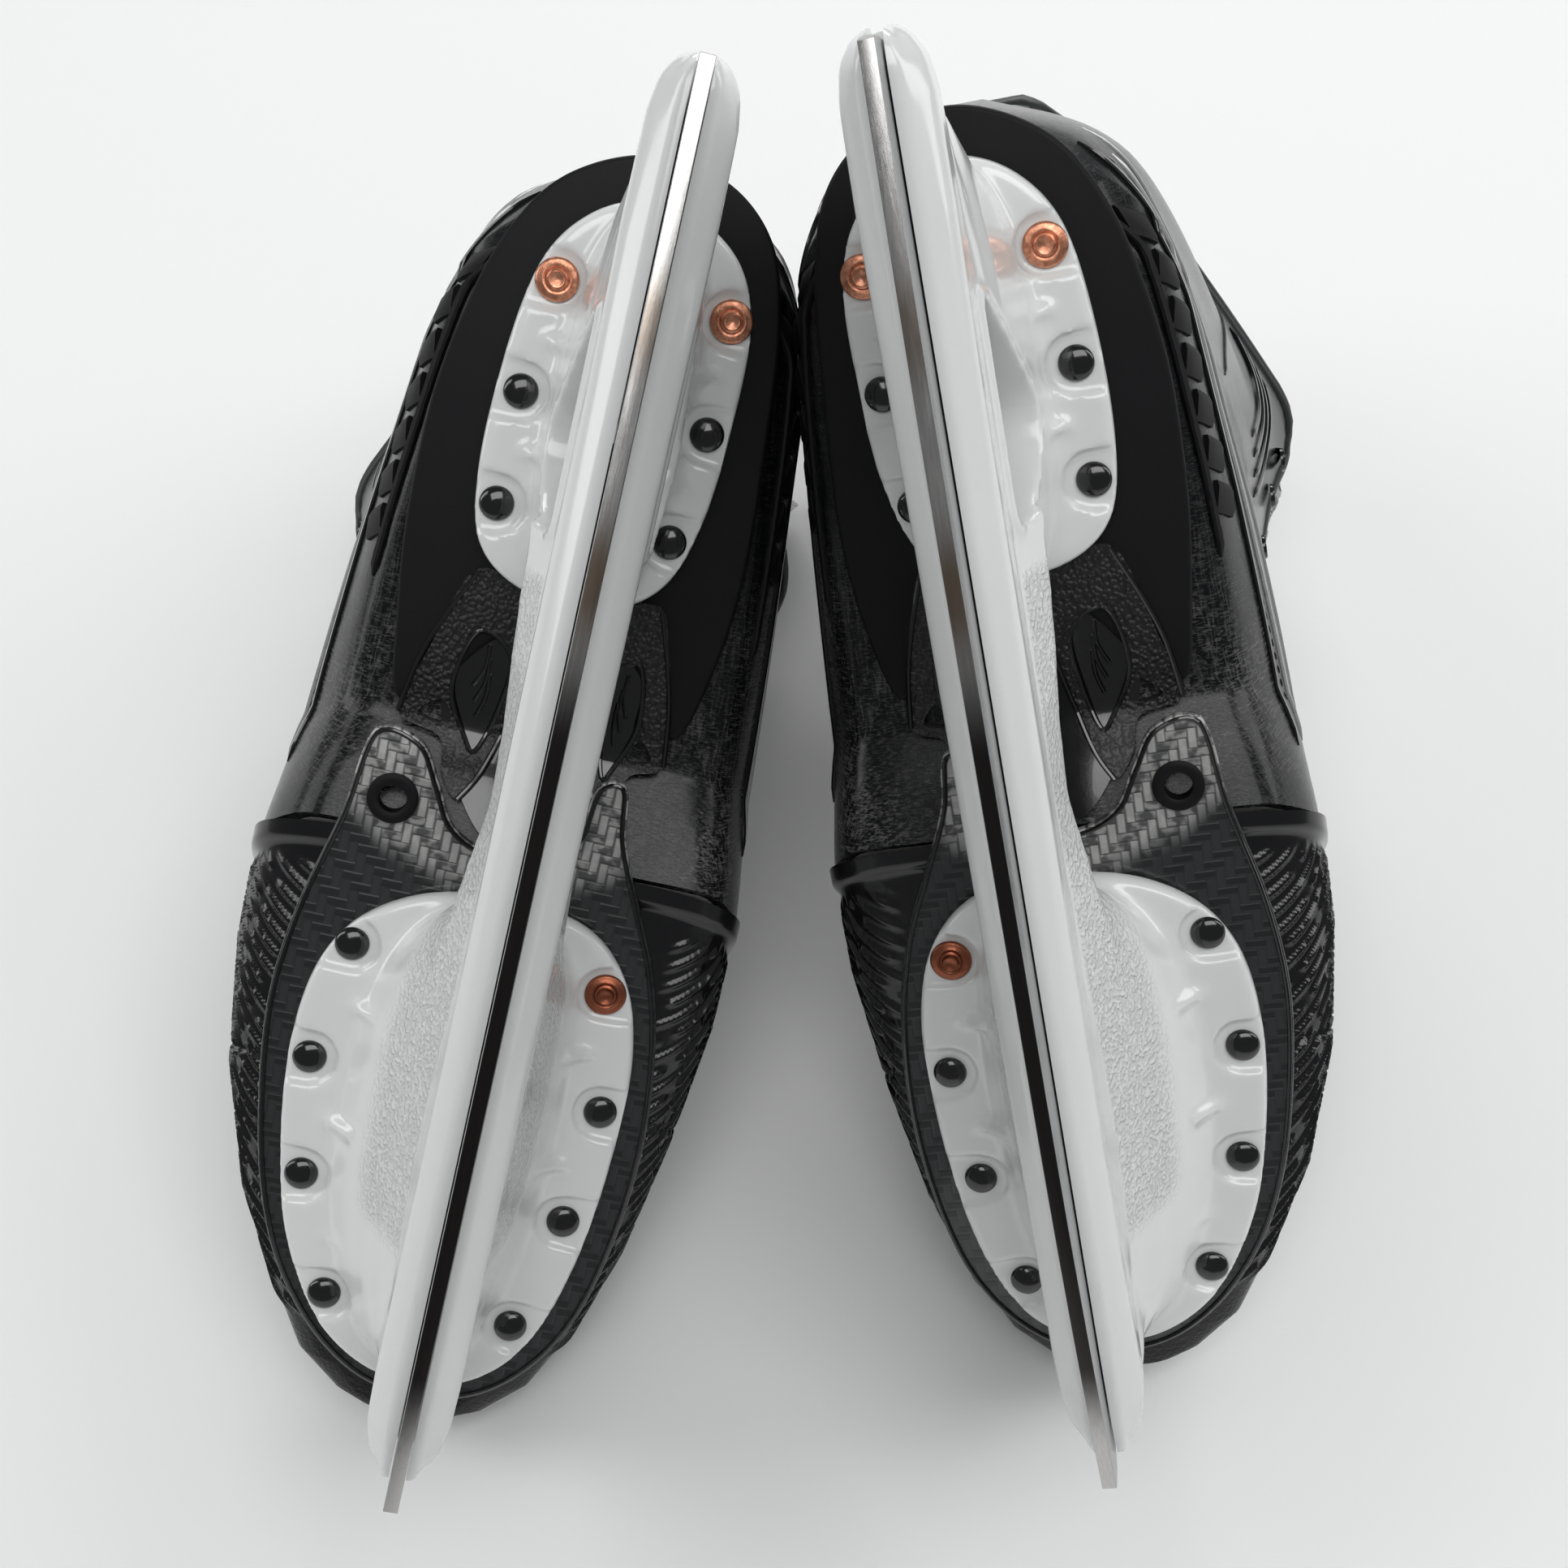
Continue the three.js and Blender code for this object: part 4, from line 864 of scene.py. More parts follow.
def at_side(y, side, narrow):
    """A half-width as a place across the skate: outwards (1), or narrower inwards (-1)."""
    return side * y * (1 if side > 0 else narrow)


def outer_line(cut_here, count=40):
    """Distance along the slice and half-width, from the sole's middle to the facing's edge."""
    corner, full, flat, wide, at, edge = cut_here[4:]
    reach = reach_of(cut_here)
    points = [(0, flat), (corner * reach, flat + (wide - flat) * full), (at * reach, wide), (reach, edge)]
    line = curve(points, count, closed=False)
    line[:, 0] = np.maximum(line[:, 0], 0)
    return np.vstack([[(0, 0)], [(0, flat * 0.5)], line])


def inset_line(line, depth):
    """The line moved inwards; it starts on the middle and ends at the same reach."""
    before = np.vstack([line[:1], line[:-1]])
    after = np.vstack([line[1:], line[-1:]])
    along = after - before
    along /= np.linalg.norm(along, axis=1)[:, None]
    moved_line = line + np.stack([along[:, 1], -along[:, 0]], 1) * depth
    moved_line[0] = (depth, 0)
    moved_line[-1] = (line[-1, 0], line[-1, 1] - depth)
    moved_line[:, 0] = np.minimum(moved_line[:, 0], line[-1, 0])
    return moved_line


def slice_point(cut_here, s, y):
    """The point at a distance along a slice and a place across the skate."""
    bx, bz, fx, fz = cut_here[:4]
    reach = reach_of(cut_here)
    return (bx + (fx - bx) / reach * s, y, bz + (fz - bz) / reach * s)


def half_ring(place, depth, count=40):
    """Points round the open wall at one depth, from the outer facing under the sole to the inner facing."""
    cut_here, side = station(place)
    line = outer_line(cut_here, count)
    round_top = 13 * max(0.0, place - (LAST - 0.7)) ** 2 / 0.49
    line = line[line[:, 0] <= line[-1, 0] - round_top] if round_top else line
    line = inset_line(line, depth) if depth else line
    outside = [slice_point(cut_here, s, y) for s, y in line[::-1]]
    inside = [slice_point(cut_here, s, -y * side) for s, y in line[1:]]
    return outside + inside


def wall(depth_out, depth_in, places, count=110):
    """The boot's open wall between two depths under its skin."""
    outer, inner = [[even(half_ring(place, depth), count) for place in places] for depth in (depth_out, depth_in)]
    return loft([np.vstack([out_ring, in_ring[::-1]]) for out_ring, in_ring in zip(outer, inner)])


def shell():
    return wall(0, SHELL_WALL, np.linspace(0, LAST, 80))


def liner():
    return wall(SHELL_WALL + FIT, SHELL_WALL + FIT + LINER_WALL, np.linspace(0, LAST, 60), 80)


def throat():
    """The lining that closes the throat under the lace."""
    rings = []
    for place in np.linspace(0, LAST_LACED - 0.15, 14):
        cut_here, narrow = station(place)
        reach = reach_of(cut_here)
        half = cut_here[9] - SHELL_WALL - FIT - LINER_WALL / 2
        top = [(reach - 0.2 + 5 * (1 - u * u), u) for u in np.linspace(-1, 1, 17)]
        low = [(reach - TONGUE_THICKNESS + 3 * (1 - u * u), u) for u in np.linspace(1, -1, 9)]
        rings.append([slice_point(cut_here, s, at_side(half, u, narrow)) for s, u in top + low])
    return loft(rings)


def insole_section(outer, inner):
    return [(-inner, 0), (outer, 0), (outer + 0.4, 2.2), (outer - 1, 3), (0, 3.2),
            (-inner + 1, 3), (-inner - 0.4, 2.2)]


def insole():
    rest = SHELL_WALL + 2 * FIT + LINER_WALL
    rings = []
    for place in (4.55, 4.3, 4, 3.5, 3, 2.5, 2, 1.5, 1, 0.5, 0):
        cut_here, narrow = station(place)
        half = cut_here[6] - 10
        low = rest + (0 if place else 2)
        rings.append([slice_point(cut_here, low + lift, y) for y, lift in insole_section(half, half * narrow)])
    floor_height = FORE_SOLE + SHELL_WALL + LINER_WALL + 2
    for x, half in [(190, 28), (215, 29), (250, 24), (BOOT_LENGTH - 31, 12)]:
        rings.append([(x, y, floor_height + lift) for y, lift in insole_section(half, half * INNER_FORE)])
    return loft(rings)


# the shell's outer skin as points, to lay trims on
SKIN = np.array([even(half_ring(place, 0, 60), 220) for place in np.linspace(0, LAST, 180)])
SKIN_OUT = outward(SKIN).reshape(-1, 3)
SKIN = SKIN.reshape(-1, 3)


def skin_tree(side):
    """The skin's points on one side, to look up by their x and z."""
    chosen = np.flatnonzero(SKIN[:, 1] * side > 4)
    tree = KDTree(len(chosen))
    for i in chosen:
        tree.insert((SKIN[i, 0], 0, SKIN[i, 2]), int(i))
    tree.balance()
    return tree


SKIN_TREES = {side: skin_tree(side) for side in (1, -1)}


def on_skin(x, z, side, lift=0.0):
    """The point of the shell's skin beside a place in x and z, on the outer (1) or inner (-1) side."""
    found = SKIN_TREES[side].find_n((x, 0, z), 6)
    nearest = [i for _, i, _ in found]
    weight = np.array([1 / (gap * gap + 0.05) for _, _, gap in found])[:, None]
    out = (SKIN_OUT[nearest] * weight).sum(0)
    out /= np.linalg.norm(out)
    point = (SKIN[nearest] * weight).sum(0) / weight.sum()
    if abs(out[1]) > 0.3:
        point = np.array([x, point[1] - (out[0] * (x - point[0]) + out[2] * (z - point[2])) / out[1], z])
    return point + out * lift


def skin_strip(points, side, half_width, height, count=60, ends=3):
    """A raised strip laid on the skin along places in x and z, tapered over the rings at its ends."""
    path = curve(points, count, closed=False)
    along = np.gradient(path, axis=0)
    along /= np.linalg.norm(along, axis=1)[:, None]
    square = np.stack([-along[:, 1], along[:, 0]], 1)
    rings = []
    for i, (p, q) in enumerate(zip(path, square)):
        taper = min(1, (i + 1) / ends, (count - i) / ends)
        ring = []
        for u, lift in [(-1, -0.4), (-1, height * 0.55), (-0.6, height),
                        (0.6, height), (1, height * 0.55), (1, -0.4)]:
            ring.append(on_skin(*(p + q * u * half_width * taper), side, lift * taper))
        rings.append(ring)
    return loft(rings)


def heel_ribs():
    """The row of raised blocks between the heel outsole and the piping, with the bead that frames it."""
    made = []
    for side, count in ((1, 7), (-1, 6)):
        for i in range(count):
            x = 42 + 9.6 * i
            row = [(x, 85.0), (x + 1.6, 88.3), (x + 3.2, 91.6)]
            made.append(skin_strip(row, side, 3.3, 1.0, 7, ends=1))
        made.append(skin_strip([(34, 83.6), (70, 83.2), (112, 83.2)], side, 0.7, 1.1, 60))
    return joined(*made)


def seam_beads():
    made = []
    for side in (1, -1):
        made.append(skin_strip([(26, 95), (60, 97), (100, 97), (140, 95), (158, 92)], side, 0.8, 0.8, 80))
        for x in np.arange(30, 150, 3.1):
            made.append(skin_strip([(x, 99), (x + 1.8, 99)], side, 0.35, 0.4, 4))
    return joined(*made)


def piping():
    made = []
    for side in (1, -1):
        made.append(skin_strip([(30, 103), (60, 104), (95, 104), (130, 103), (160, 101)], side, 0.45, 0.55, 90))
        made.append(skin_strip([(24, 108), (60, 112), (95, 114), (130, 113), (163, 110)], side, 0.3, 0.4, 90))
    return joined(*made)


def ankle_ridges():
    """Embossed curved ridges on the outer and inner ankle, near the facing."""
    made = []
    for side in (1, -1):
        for k in range(4):
            line = np.array([(100, 226 - 1.5 * k), (112, 214), (119, 198), (121, 178)]) - (5 * k, 0)
            made.append(skin_strip(line, side, 1.0, 0.9, 36))
        made.append(skin_strip([(48, 214), (62, 196), (76, 170), (84, 140)], side, 0.7, 0.6, 50))
    return joined(*made)


def binding():
    """The padded roll along the facings and round the collar."""
    cut_places = np.linspace(0.25, LAST - 0.7, 60)
    middle = SHELL_WALL * 0.5
    rings = [half_ring(p, middle) for p in (*cut_places, *np.linspace(LAST - 0.66, LAST, 12))]
    outer, inner = [ring[0] for ring in rings], [ring[-1] for ring in rings]
    collar = even(half_ring(LAST, middle), 60)
    path = even(np.vstack([outer, collar[2:-2], inner[::-1]]), 260)
    share = np.linspace(0, 1, len(path))
    size = 1.9 + 2.1 * np.exp(-((share - 0.5) / 0.2) ** 2)
    return tube(path, size, 12)


def felt_edges():
    """The liner's felt where it swells out past the facings, above the laced part."""
    made = []
    for side in (1, -1):
        path, size = [], []
        for place in np.linspace(2.7, 8.0, 90):
            cut_here, narrow = station(place)
            swell = 0.5 * math.sin(place * 9) + 0.35 * math.sin(place * 23 + side)
            y = at_side(cut_here[9] - 5.5, side, narrow)
            path.append(slice_point(cut_here, reach_of(cut_here) + 5.6 + 1.6 * swell, y))
            size.append((4.6 + swell) * min(1, (place - 2.6) * 2.5, (8.1 - place) * 2.5))
        made.append(tube(path, np.array(size), 16))
    return joined(*made)


LACED_ROWS = [0.35, 0.95, 1.6, 2.2]


def eyelets():
    made = []
    for place in (*LACED_ROWS, 2.9, 3.7, 4.7, 5.9, 7.2):
        for side in (1, -1):
            cut_here, narrow = station(place)
            spot = slice_point(cut_here, reach_of(cut_here) - 6.5, at_side(cut_here[9] + 1.4, side, narrow))
            ring = lathe([(1.6, -0.4), (1.8, 0.5), (2.9, 0.6), (3.2, 0.1), (3.2, -0.4)], turns=20)
            ring.transform(Matrix.Translation(spot) @ Matrix.Rotation(-side * math.pi / 2, 4, "X"))
            made.append(ring)
    return joined(*made)


# ---------------------------------------------------------------- toe cap
CAP_RINGS = np.array([
    (0, 138, BALL_HALF + 1.5, 49.5), (0.2, 135, BALL_HALF + 1.5, 49.5), (0.44, 129, BALL_HALF - 2, 46),
    (0.66, 121, BALL_HALF - 10, 41), (0.83, 113, BALL_HALF - 21, 34), (0.93, 105, BALL_HALF - 29, 27),
    (0.985, 97, BALL_HALF - 39, 18), (1.0, 91, BALL_HALF - 45, 12),
], float)


def cap_ring(t, depth, count, lowest=None):
    """The cap's section at a share of its length, moved inwards by a depth; `lowest` is a flat floor's height."""
    top, outer, inner = (np.interp(t, CAP_RINGS[:, 0], CAP_RINGS[:, k]) for k in (1, 2, 3))
    low = lowest or FORE_SOLE + 3 * t**2
    first = STATIONS[0]
    lean = (first[2] - first[0]) * (1 - t) ** 1.3
    x0 = first[0] + FIT + (BOOT_LENGTH - first[0] - FIT) * t
    top -= depth
    ring = []
    for i in range(count):
        angle = (i + 0.5) / count * TURN
        c, s = math.cos(angle), math.sin(angle)
        half = (outer if c > 0 else inner) - depth
        power = 2.3 if s > 0 else 3.6
        y = half * powered(c, 2 / power)
        middle = low + (top - low) * 0.36
        z = middle + (top - middle if s > 0 else middle - low) * powered(s, 2 / power)
        ring.append((x0 + lean * (z - FORE_SOLE) / (first[3] - first[1]), y, z))
    return np.array(ring)


def fade(value, low, high):
    """0 at `low`, 1 at `high`, smooth between."""
    t = np.clip((value - low) / (high - low), 0, 1)
    return t * t * (3 - 2 * t)


def cap_relief(points):
    """How far the cap's thin slanted ridges, seam and rims stand out at each point, in millimetres."""
    x, y, z = points[:, 0], np.abs(points[:, 1]), points[:, 2]
    across = (x * 0.52 + z * 0.85) / 2.4
    along = x * 0.85 - z * 0.52
    row = np.floor(across)
    bead = fade(1 - np.abs(across % 1 - 0.5) * 2, 0.5, 0.8)
    stagger = (along / 19 + row * 0.37) % 1
    bead = bead * fade(stagger, 0.04, 0.12) * fade(stagger, 0.96, 0.88)
    sides = fade(z, FORE_SOLE + 1.5, FORE_SOLE + 3) * fade(z, 126, 120) * fade(y, 16, 22)
    zone = sides * fade(x, 281, 276) * fade(x - (z - FORE_SOLE) * 0.5, 170, 174)
    seam = 1 - np.clip(np.abs(x - 224 - (z - 90) * 0.3) / 1.1, 0, 1)
    rim = fade(x - (z - FORE_SOLE) * 0.62, 168.5, 165.5) * 1.5
    return bead * zone * 0.85 - seam * sides * 0.5 + rim - 0.6


def toe_cap():
    skin = np.array([cap_ring(t, 0.5, 340) for t in np.linspace(0, 1, 190)])
    relief = cap_relief(skin.reshape(-1, 3)).reshape(skin.shape[:2])
    skin = skin + outward(skin) * relief[:, :, None]
    nose = skin[-1].mean(0) + (1.6, 0, 0)
    tip = [nose + (skin[-1] + (1.2 * (1 - share), 0, 0) - nose) * share for share in (0.72, 0.4)]
    outside = loft([*skin, *tip])
    floor_height = FORE_SOLE + SHELL_WALL + LINER_WALL
    cavity = [cap_ring(t, TOE_CAP_WALL, 120, floor_height) for t in np.linspace(0, 0.9, 24)]
    cavity[0] = cavity[0] - (6, 0, 0)
    return cut(outside, loft(cavity))


# ---------------------------------------------------------------- shank
# x and z of the shell's underside between heel and forefoot
ARCH = np.array([(104, HEEL_SOLE), (125, HEEL_SOLE), (139, HEEL_SOLE), (150, FORE_SOLE + 5),
                 (160, FORE_SOLE + 1.4)])
# the outer arm and its two recesses, seen from above; the inner arm is a narrower mirror image
ARM_OUTLINE = [
    (104, 7), (117, 7.4), (132, 10), (146, 14), (153, 17.5), (148, 22), (141.5, 24), (139, 33), (133, 33),
    (124, 30), (112, 27), (104, 22),
]
KITE = [(117.5, 20.5), (121.5, 12.6), (133, 13), (142.5, 15.8), (141, 18.5), (130.5, 23.6)]
NOTCH = [(133.5, 25), (138.5, 22.5), (137.5, 29.5)]
INNER_ARM = 0.72


def arch_height(x):
    return float(np.interp(x, ARCH[:, 0], ARCH[:, 1]))


def bent_sheet(drop, thickness, half=60):
    """A sheet that follows the arch under the midfoot, its lower face `drop` below the shell."""
    return loft([[(x, -half, z - drop), (x, half, z - drop), (x, half, z - drop + thickness),
                  (x, -half, z - drop + thickness)] for x, z in curve(ARCH, 40, closed=False)])


def prism(outline, scale=1.0):
    """A tall block to cut a bent sheet with; `scale` mirrors and narrows its outline for the inner side."""
    points = curve(outline, 90) * (1, scale)
    return slab(points if scale > 0 else points[::-1], 60, 100, CUTTER_EDGE, 2)


def shank():
    """The arched midfoot piece: a thin glossy floor that joins the heel outsole to the carbon plate."""
    rim = [(106, -14), (130, -16), (150, -15), (159, -10), (161, 0), (160, 10), (151, 18), (140, 24), (120, 26),
           (106, 20)]
    return common(bent_sheet(2.2, 1.8), prism(rim))


def shank_arms():
    made = []
    for scale in (1.0, -INNER_ARM):
        arm = common(bent_sheet(3.4, 2.6), prism(ARM_OUTLINE, scale))
        made.append(cut(arm, prism(KITE, scale), prism(NOTCH, scale)))
    return joined(*made)


def arch_bead(points, scale, radius, closed=False, drop=3.3):
    """A bead laid along the arch, through places seen from above."""
    path = [(x, y * scale, arch_height(x) - drop) for x, y in curve(points, 60, closed=closed)]
    return tube(path + path[:2] if closed else path, radius, 8)


def shank_beads():
    """Raised beads round the arms' recesses and three curved slips inside each."""
    edges = [[(104, 6.6), (117, 7), (132, 9.6), (146, 13.6), (153, 17.5)],
             [(105, 23), (116, 28), (126, 31.5), (138, 33.6)]]
    made = []
    for scale in (1.0, -INNER_ARM):
        made.append(arch_bead(KITE, scale, 0.55, closed=True))
        made += [arch_bead(edge, scale, 0.6) for edge in edges]
        for shift in (0, 3.2, 6.4):
            slip = [(120 + shift, 17.5 - 0.2 * shift), (125 + shift, 17.5 - 0.2 * shift),
                    (129.5 + shift, 19.4 - 0.3 * shift)]
            made.append(arch_bead(slip, scale, 0.45, drop=2.3))
    return joined(*made)


def woven_strip():
    """The pale fabric strip that shows beside the holder."""
    section = ((2.6, 2.3), (6.6, 2.3), (6.6, 2.9), (2.6, 2.9))
    return loft([[(x, y, arch_height(x) - drop) for y, drop in section]
                 for x in np.linspace(111, 157, 30)])


# ---------------------------------------------------------------- trigger, its pin and spring
def trigger():
    base = STEEL_HEIGHT + 3  # the pocket's floor
    tang_face, lean = 65.5, 1.6  # x of the tang's front at the steel's top, and how far it leans forward in 12 mm
    low = base + 2.2
    outline = [(tang_face + lean * (low - STEEL_HEIGHT) / 12, low), (84, base + 1.6), (91, base + 5),
               (91, base + 9), (82, base + 8), (80, PIVOT[1] - 1), (79, PIVOT[1] + 3), (PIVOT[0], PIVOT[1] + 4.2),
               (72, PIVOT[1] + 2), (71, PIVOT[1] - 8), (tang_face + lean, 40)]
    lever = side_slab(outline, -5.5, 1.5, 0.5)
    return cut(lever, side_slab(circle(PIVOT, PIN_BORE, 20), -9, 9, CUTTER_EDGE))


def trigger_pin():
    made = lathe([(0, -9.2), (1.2, -9.2), (1.5, -8.9), (1.5, 8.9), (1.2, 9.2), (0, 9.2)], turns=24)
    made.transform(Matrix.Translation((PIVOT[0], 0, PIVOT[1])) @ Matrix.Rotation(math.pi / 2, 4, "X"))
    return made


def trigger_spring():
    """Four turns of wire round the pin, beside the lever."""
    angles = np.linspace(0, 4 * TURN, 90)
    coil = arc(PIVOT, 2.4, angles)
    return tube([(x, 2.3 + 0.7 * a / TURN, z) for (x, z), a in zip(coil, angles)], 0.34, 8)


# ---------------------------------------------------------------- tongue, tendon guard and lace
def tongue_line():
    """The tongue's middle from its root to its top: x, z and half-width."""
    inside = SHELL_WALL + FIT + LINER_WALL + 4
    line = []
    for place in (LAST_LACED, 3.5, 4.6, 6, 8):
        cut_here, narrow = station(place)
        x, _, z = slice_point(cut_here, reach_of(cut_here) - TONGUE_THICKNESS / 2, 0)
        line.append((x, z, (cut_here[9] - inside) * narrow))
    return line + [(111, 251, 47), (108, 265, 58), (108, 277, 58)]


def tongue(flex):
    """The felt tongue, turned forwards about its root by an angle."""
    line = curve(tongue_line(), 60, closed=False)
    hinge = np.array(tongue_line()[0][:2])
    along = np.gradient(line[:, :2], axis=0)
    along /= np.linalg.norm(along, axis=1)[:, None]
    rings = []
    for i, (x, z, half) in enumerate(line):
        out = np.array([along[i, 1], -along[i, 0]])
        wrap = 0.32 * half
        share = i / (len(line) - 1)
        end = min(1.0, (len(line) - 1 - i + 1.2) / 4)
        thick = TONGUE_THICKNESS * (0.8 + 0.2 * math.sin(share * math.pi)) * end
        ring = []
        for u in np.concatenate([np.linspace(-1, 1, 33), np.linspace(1, -1, 33)[1:-1]]):
            front = len(ring) < 33
            ridge = 0.6 * math.cos(share * 40) if front else 0
            edge = math.sqrt(max(0.0, 1 - abs(u) ** 10))
            depth = (0.5 if front else -0.5) * thick * (0.3 + 0.7 * edge) + ridge * edge
            lift = depth - wrap * u * u * (1 if front else 0.9)
            ring.append((x + out[0] * lift, u * half, z + out[1] * lift))
        rings.append(ring)
    made = loft(rings)
    pivot = Matrix.Translation((hinge[0], 0, hinge[1]))
    made.transform(pivot @ Matrix.Rotation(flex, 4, "Y") @ pivot.inverted())
    return made


def tendon_guard():
    """The tendon guard: a ribbed flap that wraps the heel above the collar, narrower towards its top."""
    cut_here, _ = station(LAST)
    bx, bz, fx, fz = cut_here[:4]
    slope = (fz - bz) / (fx - bx)
    top = bz + 55
    heights = [0, 0.3, 0.65, 0.9, 1]
    rings = []
    for t in np.linspace(0, 1, 26):
        shift = np.interp(t, heights, [0, 1, 1, 1.5, 2])
        width = np.interp(t, heights, [1, 0.94, 0.82, 0.62, 0.4])
        bulge = 0.7 * math.cos(t * 6 * math.pi) * (1 - t)
        section = [(34 * u * width, 30 * abs(u) ** 2.2 * width - bulge * (1 - u * u))
                   for u in np.linspace(-1, 1, 25)]
        section += [(31 * u * width, 30 * abs(u) ** 2.2 * width + width + 4.5 * (1 - 0.5 * abs(u)))
                    for u in np.linspace(0.94, -0.94, 25)]
        ring = []
        for y, depth in section:
            x = bx - 1 + shift + depth
            low = bz + slope * (x - bx) + 2 * FIT
            ring.append((x, y, low + (top - low) * t))
        rings.append(ring)
    return loft(rings)


def lace():
    """One cord: it runs down to the lowest row from side to side, then back up over itself."""
    rows = LACED_ROWS
    lift = LACE_DIAMETER / 2 + 0.9

    def at(row, side):
        cut_here, narrow = station(rows[row])
        return slice_point(cut_here, reach_of(cut_here) + lift, at_side(cut_here[9] - 2, side, narrow))

    def cross(place, height):
        cut_here, _ = station(place)
        return slice_point(cut_here, reach_of(cut_here) + 5 + height, 0)

    points = [at(3, -1)]
    for row in (2, 1, 0):
        points += [cross((rows[row] + rows[row + 1]) / 2, lift), at(row, -1 if row % 2 else 1)]
    points += [cross(rows[0], lift), at(0, -1)]
    for row in range(3):
        over = cross((rows[row] + rows[row + 1]) / 2, lift + LACE_DIAMETER + 0.8)
        points += [over, at(row + 1, -1 if row % 2 else 1)]
    return tube(curve(points, 240, closed=False), LACE_DIAMETER / 2, 12, 0.7)


# ---------------------------------------------------------------- the pair
TONGUE_FLEX = {"left": math.radians(0.7), "right": math.radians(16.3)}
FILL = {"felt_liner": 0.9, "felt_edges": 0.8, "felt_tongue": 0.9}


def build_pair():
    # name, mesh, material, slot, then where they differ from the usual: solid replaced, body, sharpest smooth angle
    pieces = [
        ("runner_steel", runner(), STEEL, "blade_steel", "runner", "runner_body"),
        ("holder_body", holder(), WHITE, "white_plastic", "holder", "skate", 50),
        ("carbon_sole", fore_plate(), CARBON, "carbon", "forefoot_plate"),
        ("carbon_rim", plate_rim(), GLOSS, "carbon"),
        ("heel_outsole", heel_plate(), OUTSOLE, "outsole", "heel_plate"),
        ("grommet_ring", moved(grommet(), (*GROMMET, FORE_PLATE)), OUTSOLE, "ring_black", "grommet"),
        ("boot_shell", shell(), COMPOSITE, "composite", "shell"),
        ("heel_ribs", heel_ribs(), OUTSOLE, "outsole"),
        ("seam_beads", seam_beads(), GLOSS, "composite"),
        ("piping", piping(), PIPING, "composite"),
        ("ankle_ridges", ankle_ridges(), COMPOSITE, "composite"),
        ("binding", binding(), BINDING, "guard_black"),
        ("eyelets", eyelets(), GLOSS, "ring_black"),
        ("felt_liner", liner(), FELT, "felt", "liner"),
        ("felt_edges", felt_edges(), FELT, "felt"),
        ("throat_lining", throat(), LINING, "felt"),
        ("footbed", insole(), LINING, "footbed", "insole"),
        ("ridged_toe_cap", toe_cap(), RIDGED, "cap_black", "toe_cap", "skate", 60),
        ("midfoot_floor", shank(), GLOSS, "outsole", "shank"),
        ("midfoot_arms", shank_arms(), PEBBLED, "outsole"),
        ("midfoot_beads", shank_beads(), GLOSS, "outsole"),
        ("woven_strip", woven_strip(), PIPING, "composite"),
        ("trigger_lever", trigger(), WHITE, "white_satin", "trigger", "trigger_body"),
        ("lever_pin", trigger_pin(), STEEL, "blade_steel", "trigger_pin"),
        ("torsion_spring", trigger_spring(), STEEL, "blade_steel", "trigger_spring"),
        ("felt_tongue", None, FELT, "felt", "tongue", "tongue_body"),
        ("tendon_flap", tendon_guard(), BINDING, "guard_black", "tendon_guard", "tendon_guard_body"),
        ("waxed_lace", lace(), LACE, "lace_white", "lace"),
    ]
    washer, dome = (copper_rivet(), COPPER, "copper"), (black_rivet(), GLOSS, "rivet_black")
    for name, place in RIVETS.items():
        mesh, material, slot_name = washer if name.startswith("copper") else dome
        pieces.append((name + "_head", moved(mesh, place), material, slot_name, name))
    for side in SIDES:
        for name, mesh, *rest in pieces:
            piece = put(mesh or tongue(TONGUE_FLEX[side]), side, name, *rest)
            name in FILL


build_pair()

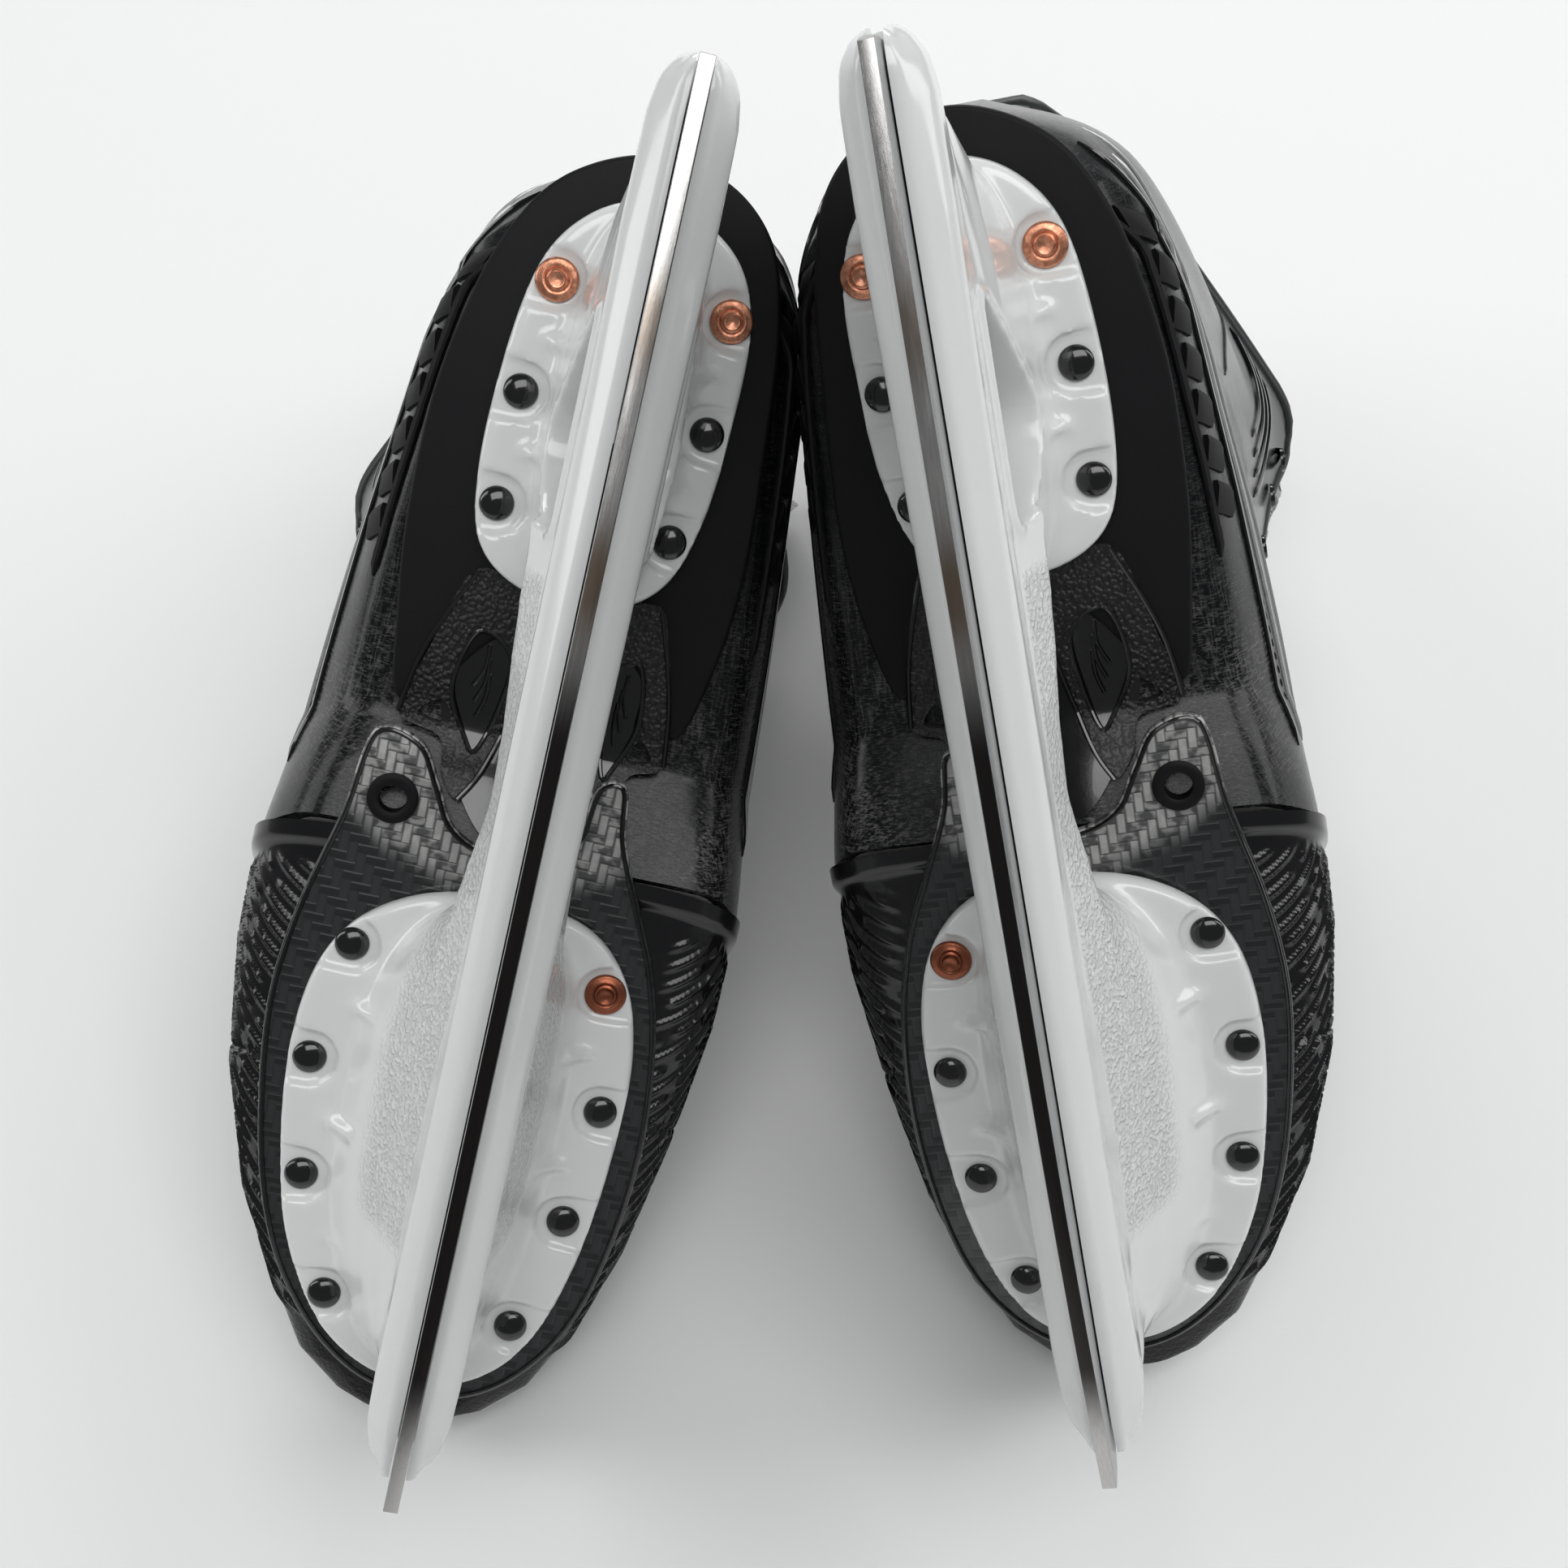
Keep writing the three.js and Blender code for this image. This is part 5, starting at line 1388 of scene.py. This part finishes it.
# ---------------------------------------------------------------- camera, light and floor
# where the camera stands from the point midway between the two steels' heel tips, in metres
CAMERA_FROM_HEELS = Vector((0.00345, -0.2887, 0.2227))
LOOK_DOWN = math.radians(57)
SENSOR_WIDTH, LENS, SHIFT = 36, 48.56, (-0.0130, 0.0010)
heels = (LAY["left"].translation + LAY["right"].translation) / 2
camera_data = bpy.data.cameras.new("camera")
camera_data.sensor_width, camera_data.lens = SENSOR_WIDTH, LENS
camera_data.shift_x, camera_data.shift_y = SHIFT
camera = placed("camera", camera_data)
camera.location = heels + CAMERA_FROM_HEELS
camera.rotation_euler = (math.pi / 2 - LOOK_DOWN, 0, 0)
bpy.context.scene.camera = camera


def floor(size=3.0):
    mesh = mesh_of([(-size, -size, 0), (size, -size, 0), (size, size, 0), (-size, size, 0)], [(0, 1, 2, 3)])
    surface = bpy.data.materials.new("floor")
    surface.use_nodes = True
    shader = surface.node_tree.nodes["Principled BSDF"]
    shader.inputs["Base Color"].default_value = (0.9, 0.9, 0.9, 1)
    shader.inputs["Roughness"].default_value = 0.9
    mesh.materials.append(surface)
    placed("floor", mesh)


LIGHTS_AIM = Vector((0, 0, 0.14))  # the middle of the pair, which every light points at


def soft_light(name, place, size, power):
    data = bpy.data.lights.new(name, "AREA")
    data.shape = "RECTANGLE"
    data.size, data.size_y = size
    data.energy = power
    made = placed(name, data)
    made.location = place
    made.rotation_euler = (LIGHTS_AIM - Vector(place)).to_track_quat("-Z", "Y").to_euler()


floor()
for name, place, size, power in [
    ("overhead", (0.15, -0.5, 1.5), (1.3, 0.7), 11),
    ("left_window", (-1.3, 0.1, 0.9), (0.5, 1.4), 7),
    ("right_window", (1.3, 0.2, 1.0), (0.5, 1.4), 7),
    ("heel_side", (0.1, 1.4, 0.8), (1.3, 0.5), 10),
]:
    soft_light(name, place, size, power)
world = bpy.data.worlds.new("studio")
world.use_nodes = True
background = world.node_tree.nodes["Background"]
background.inputs["Color"].default_value = (0.9, 0.92, 0.94, 1)
background.inputs["Strength"].default_value = 0.2
bpy.context.scene.world = world
bpy.context.scene.view_settings.view_transform = "Standard"
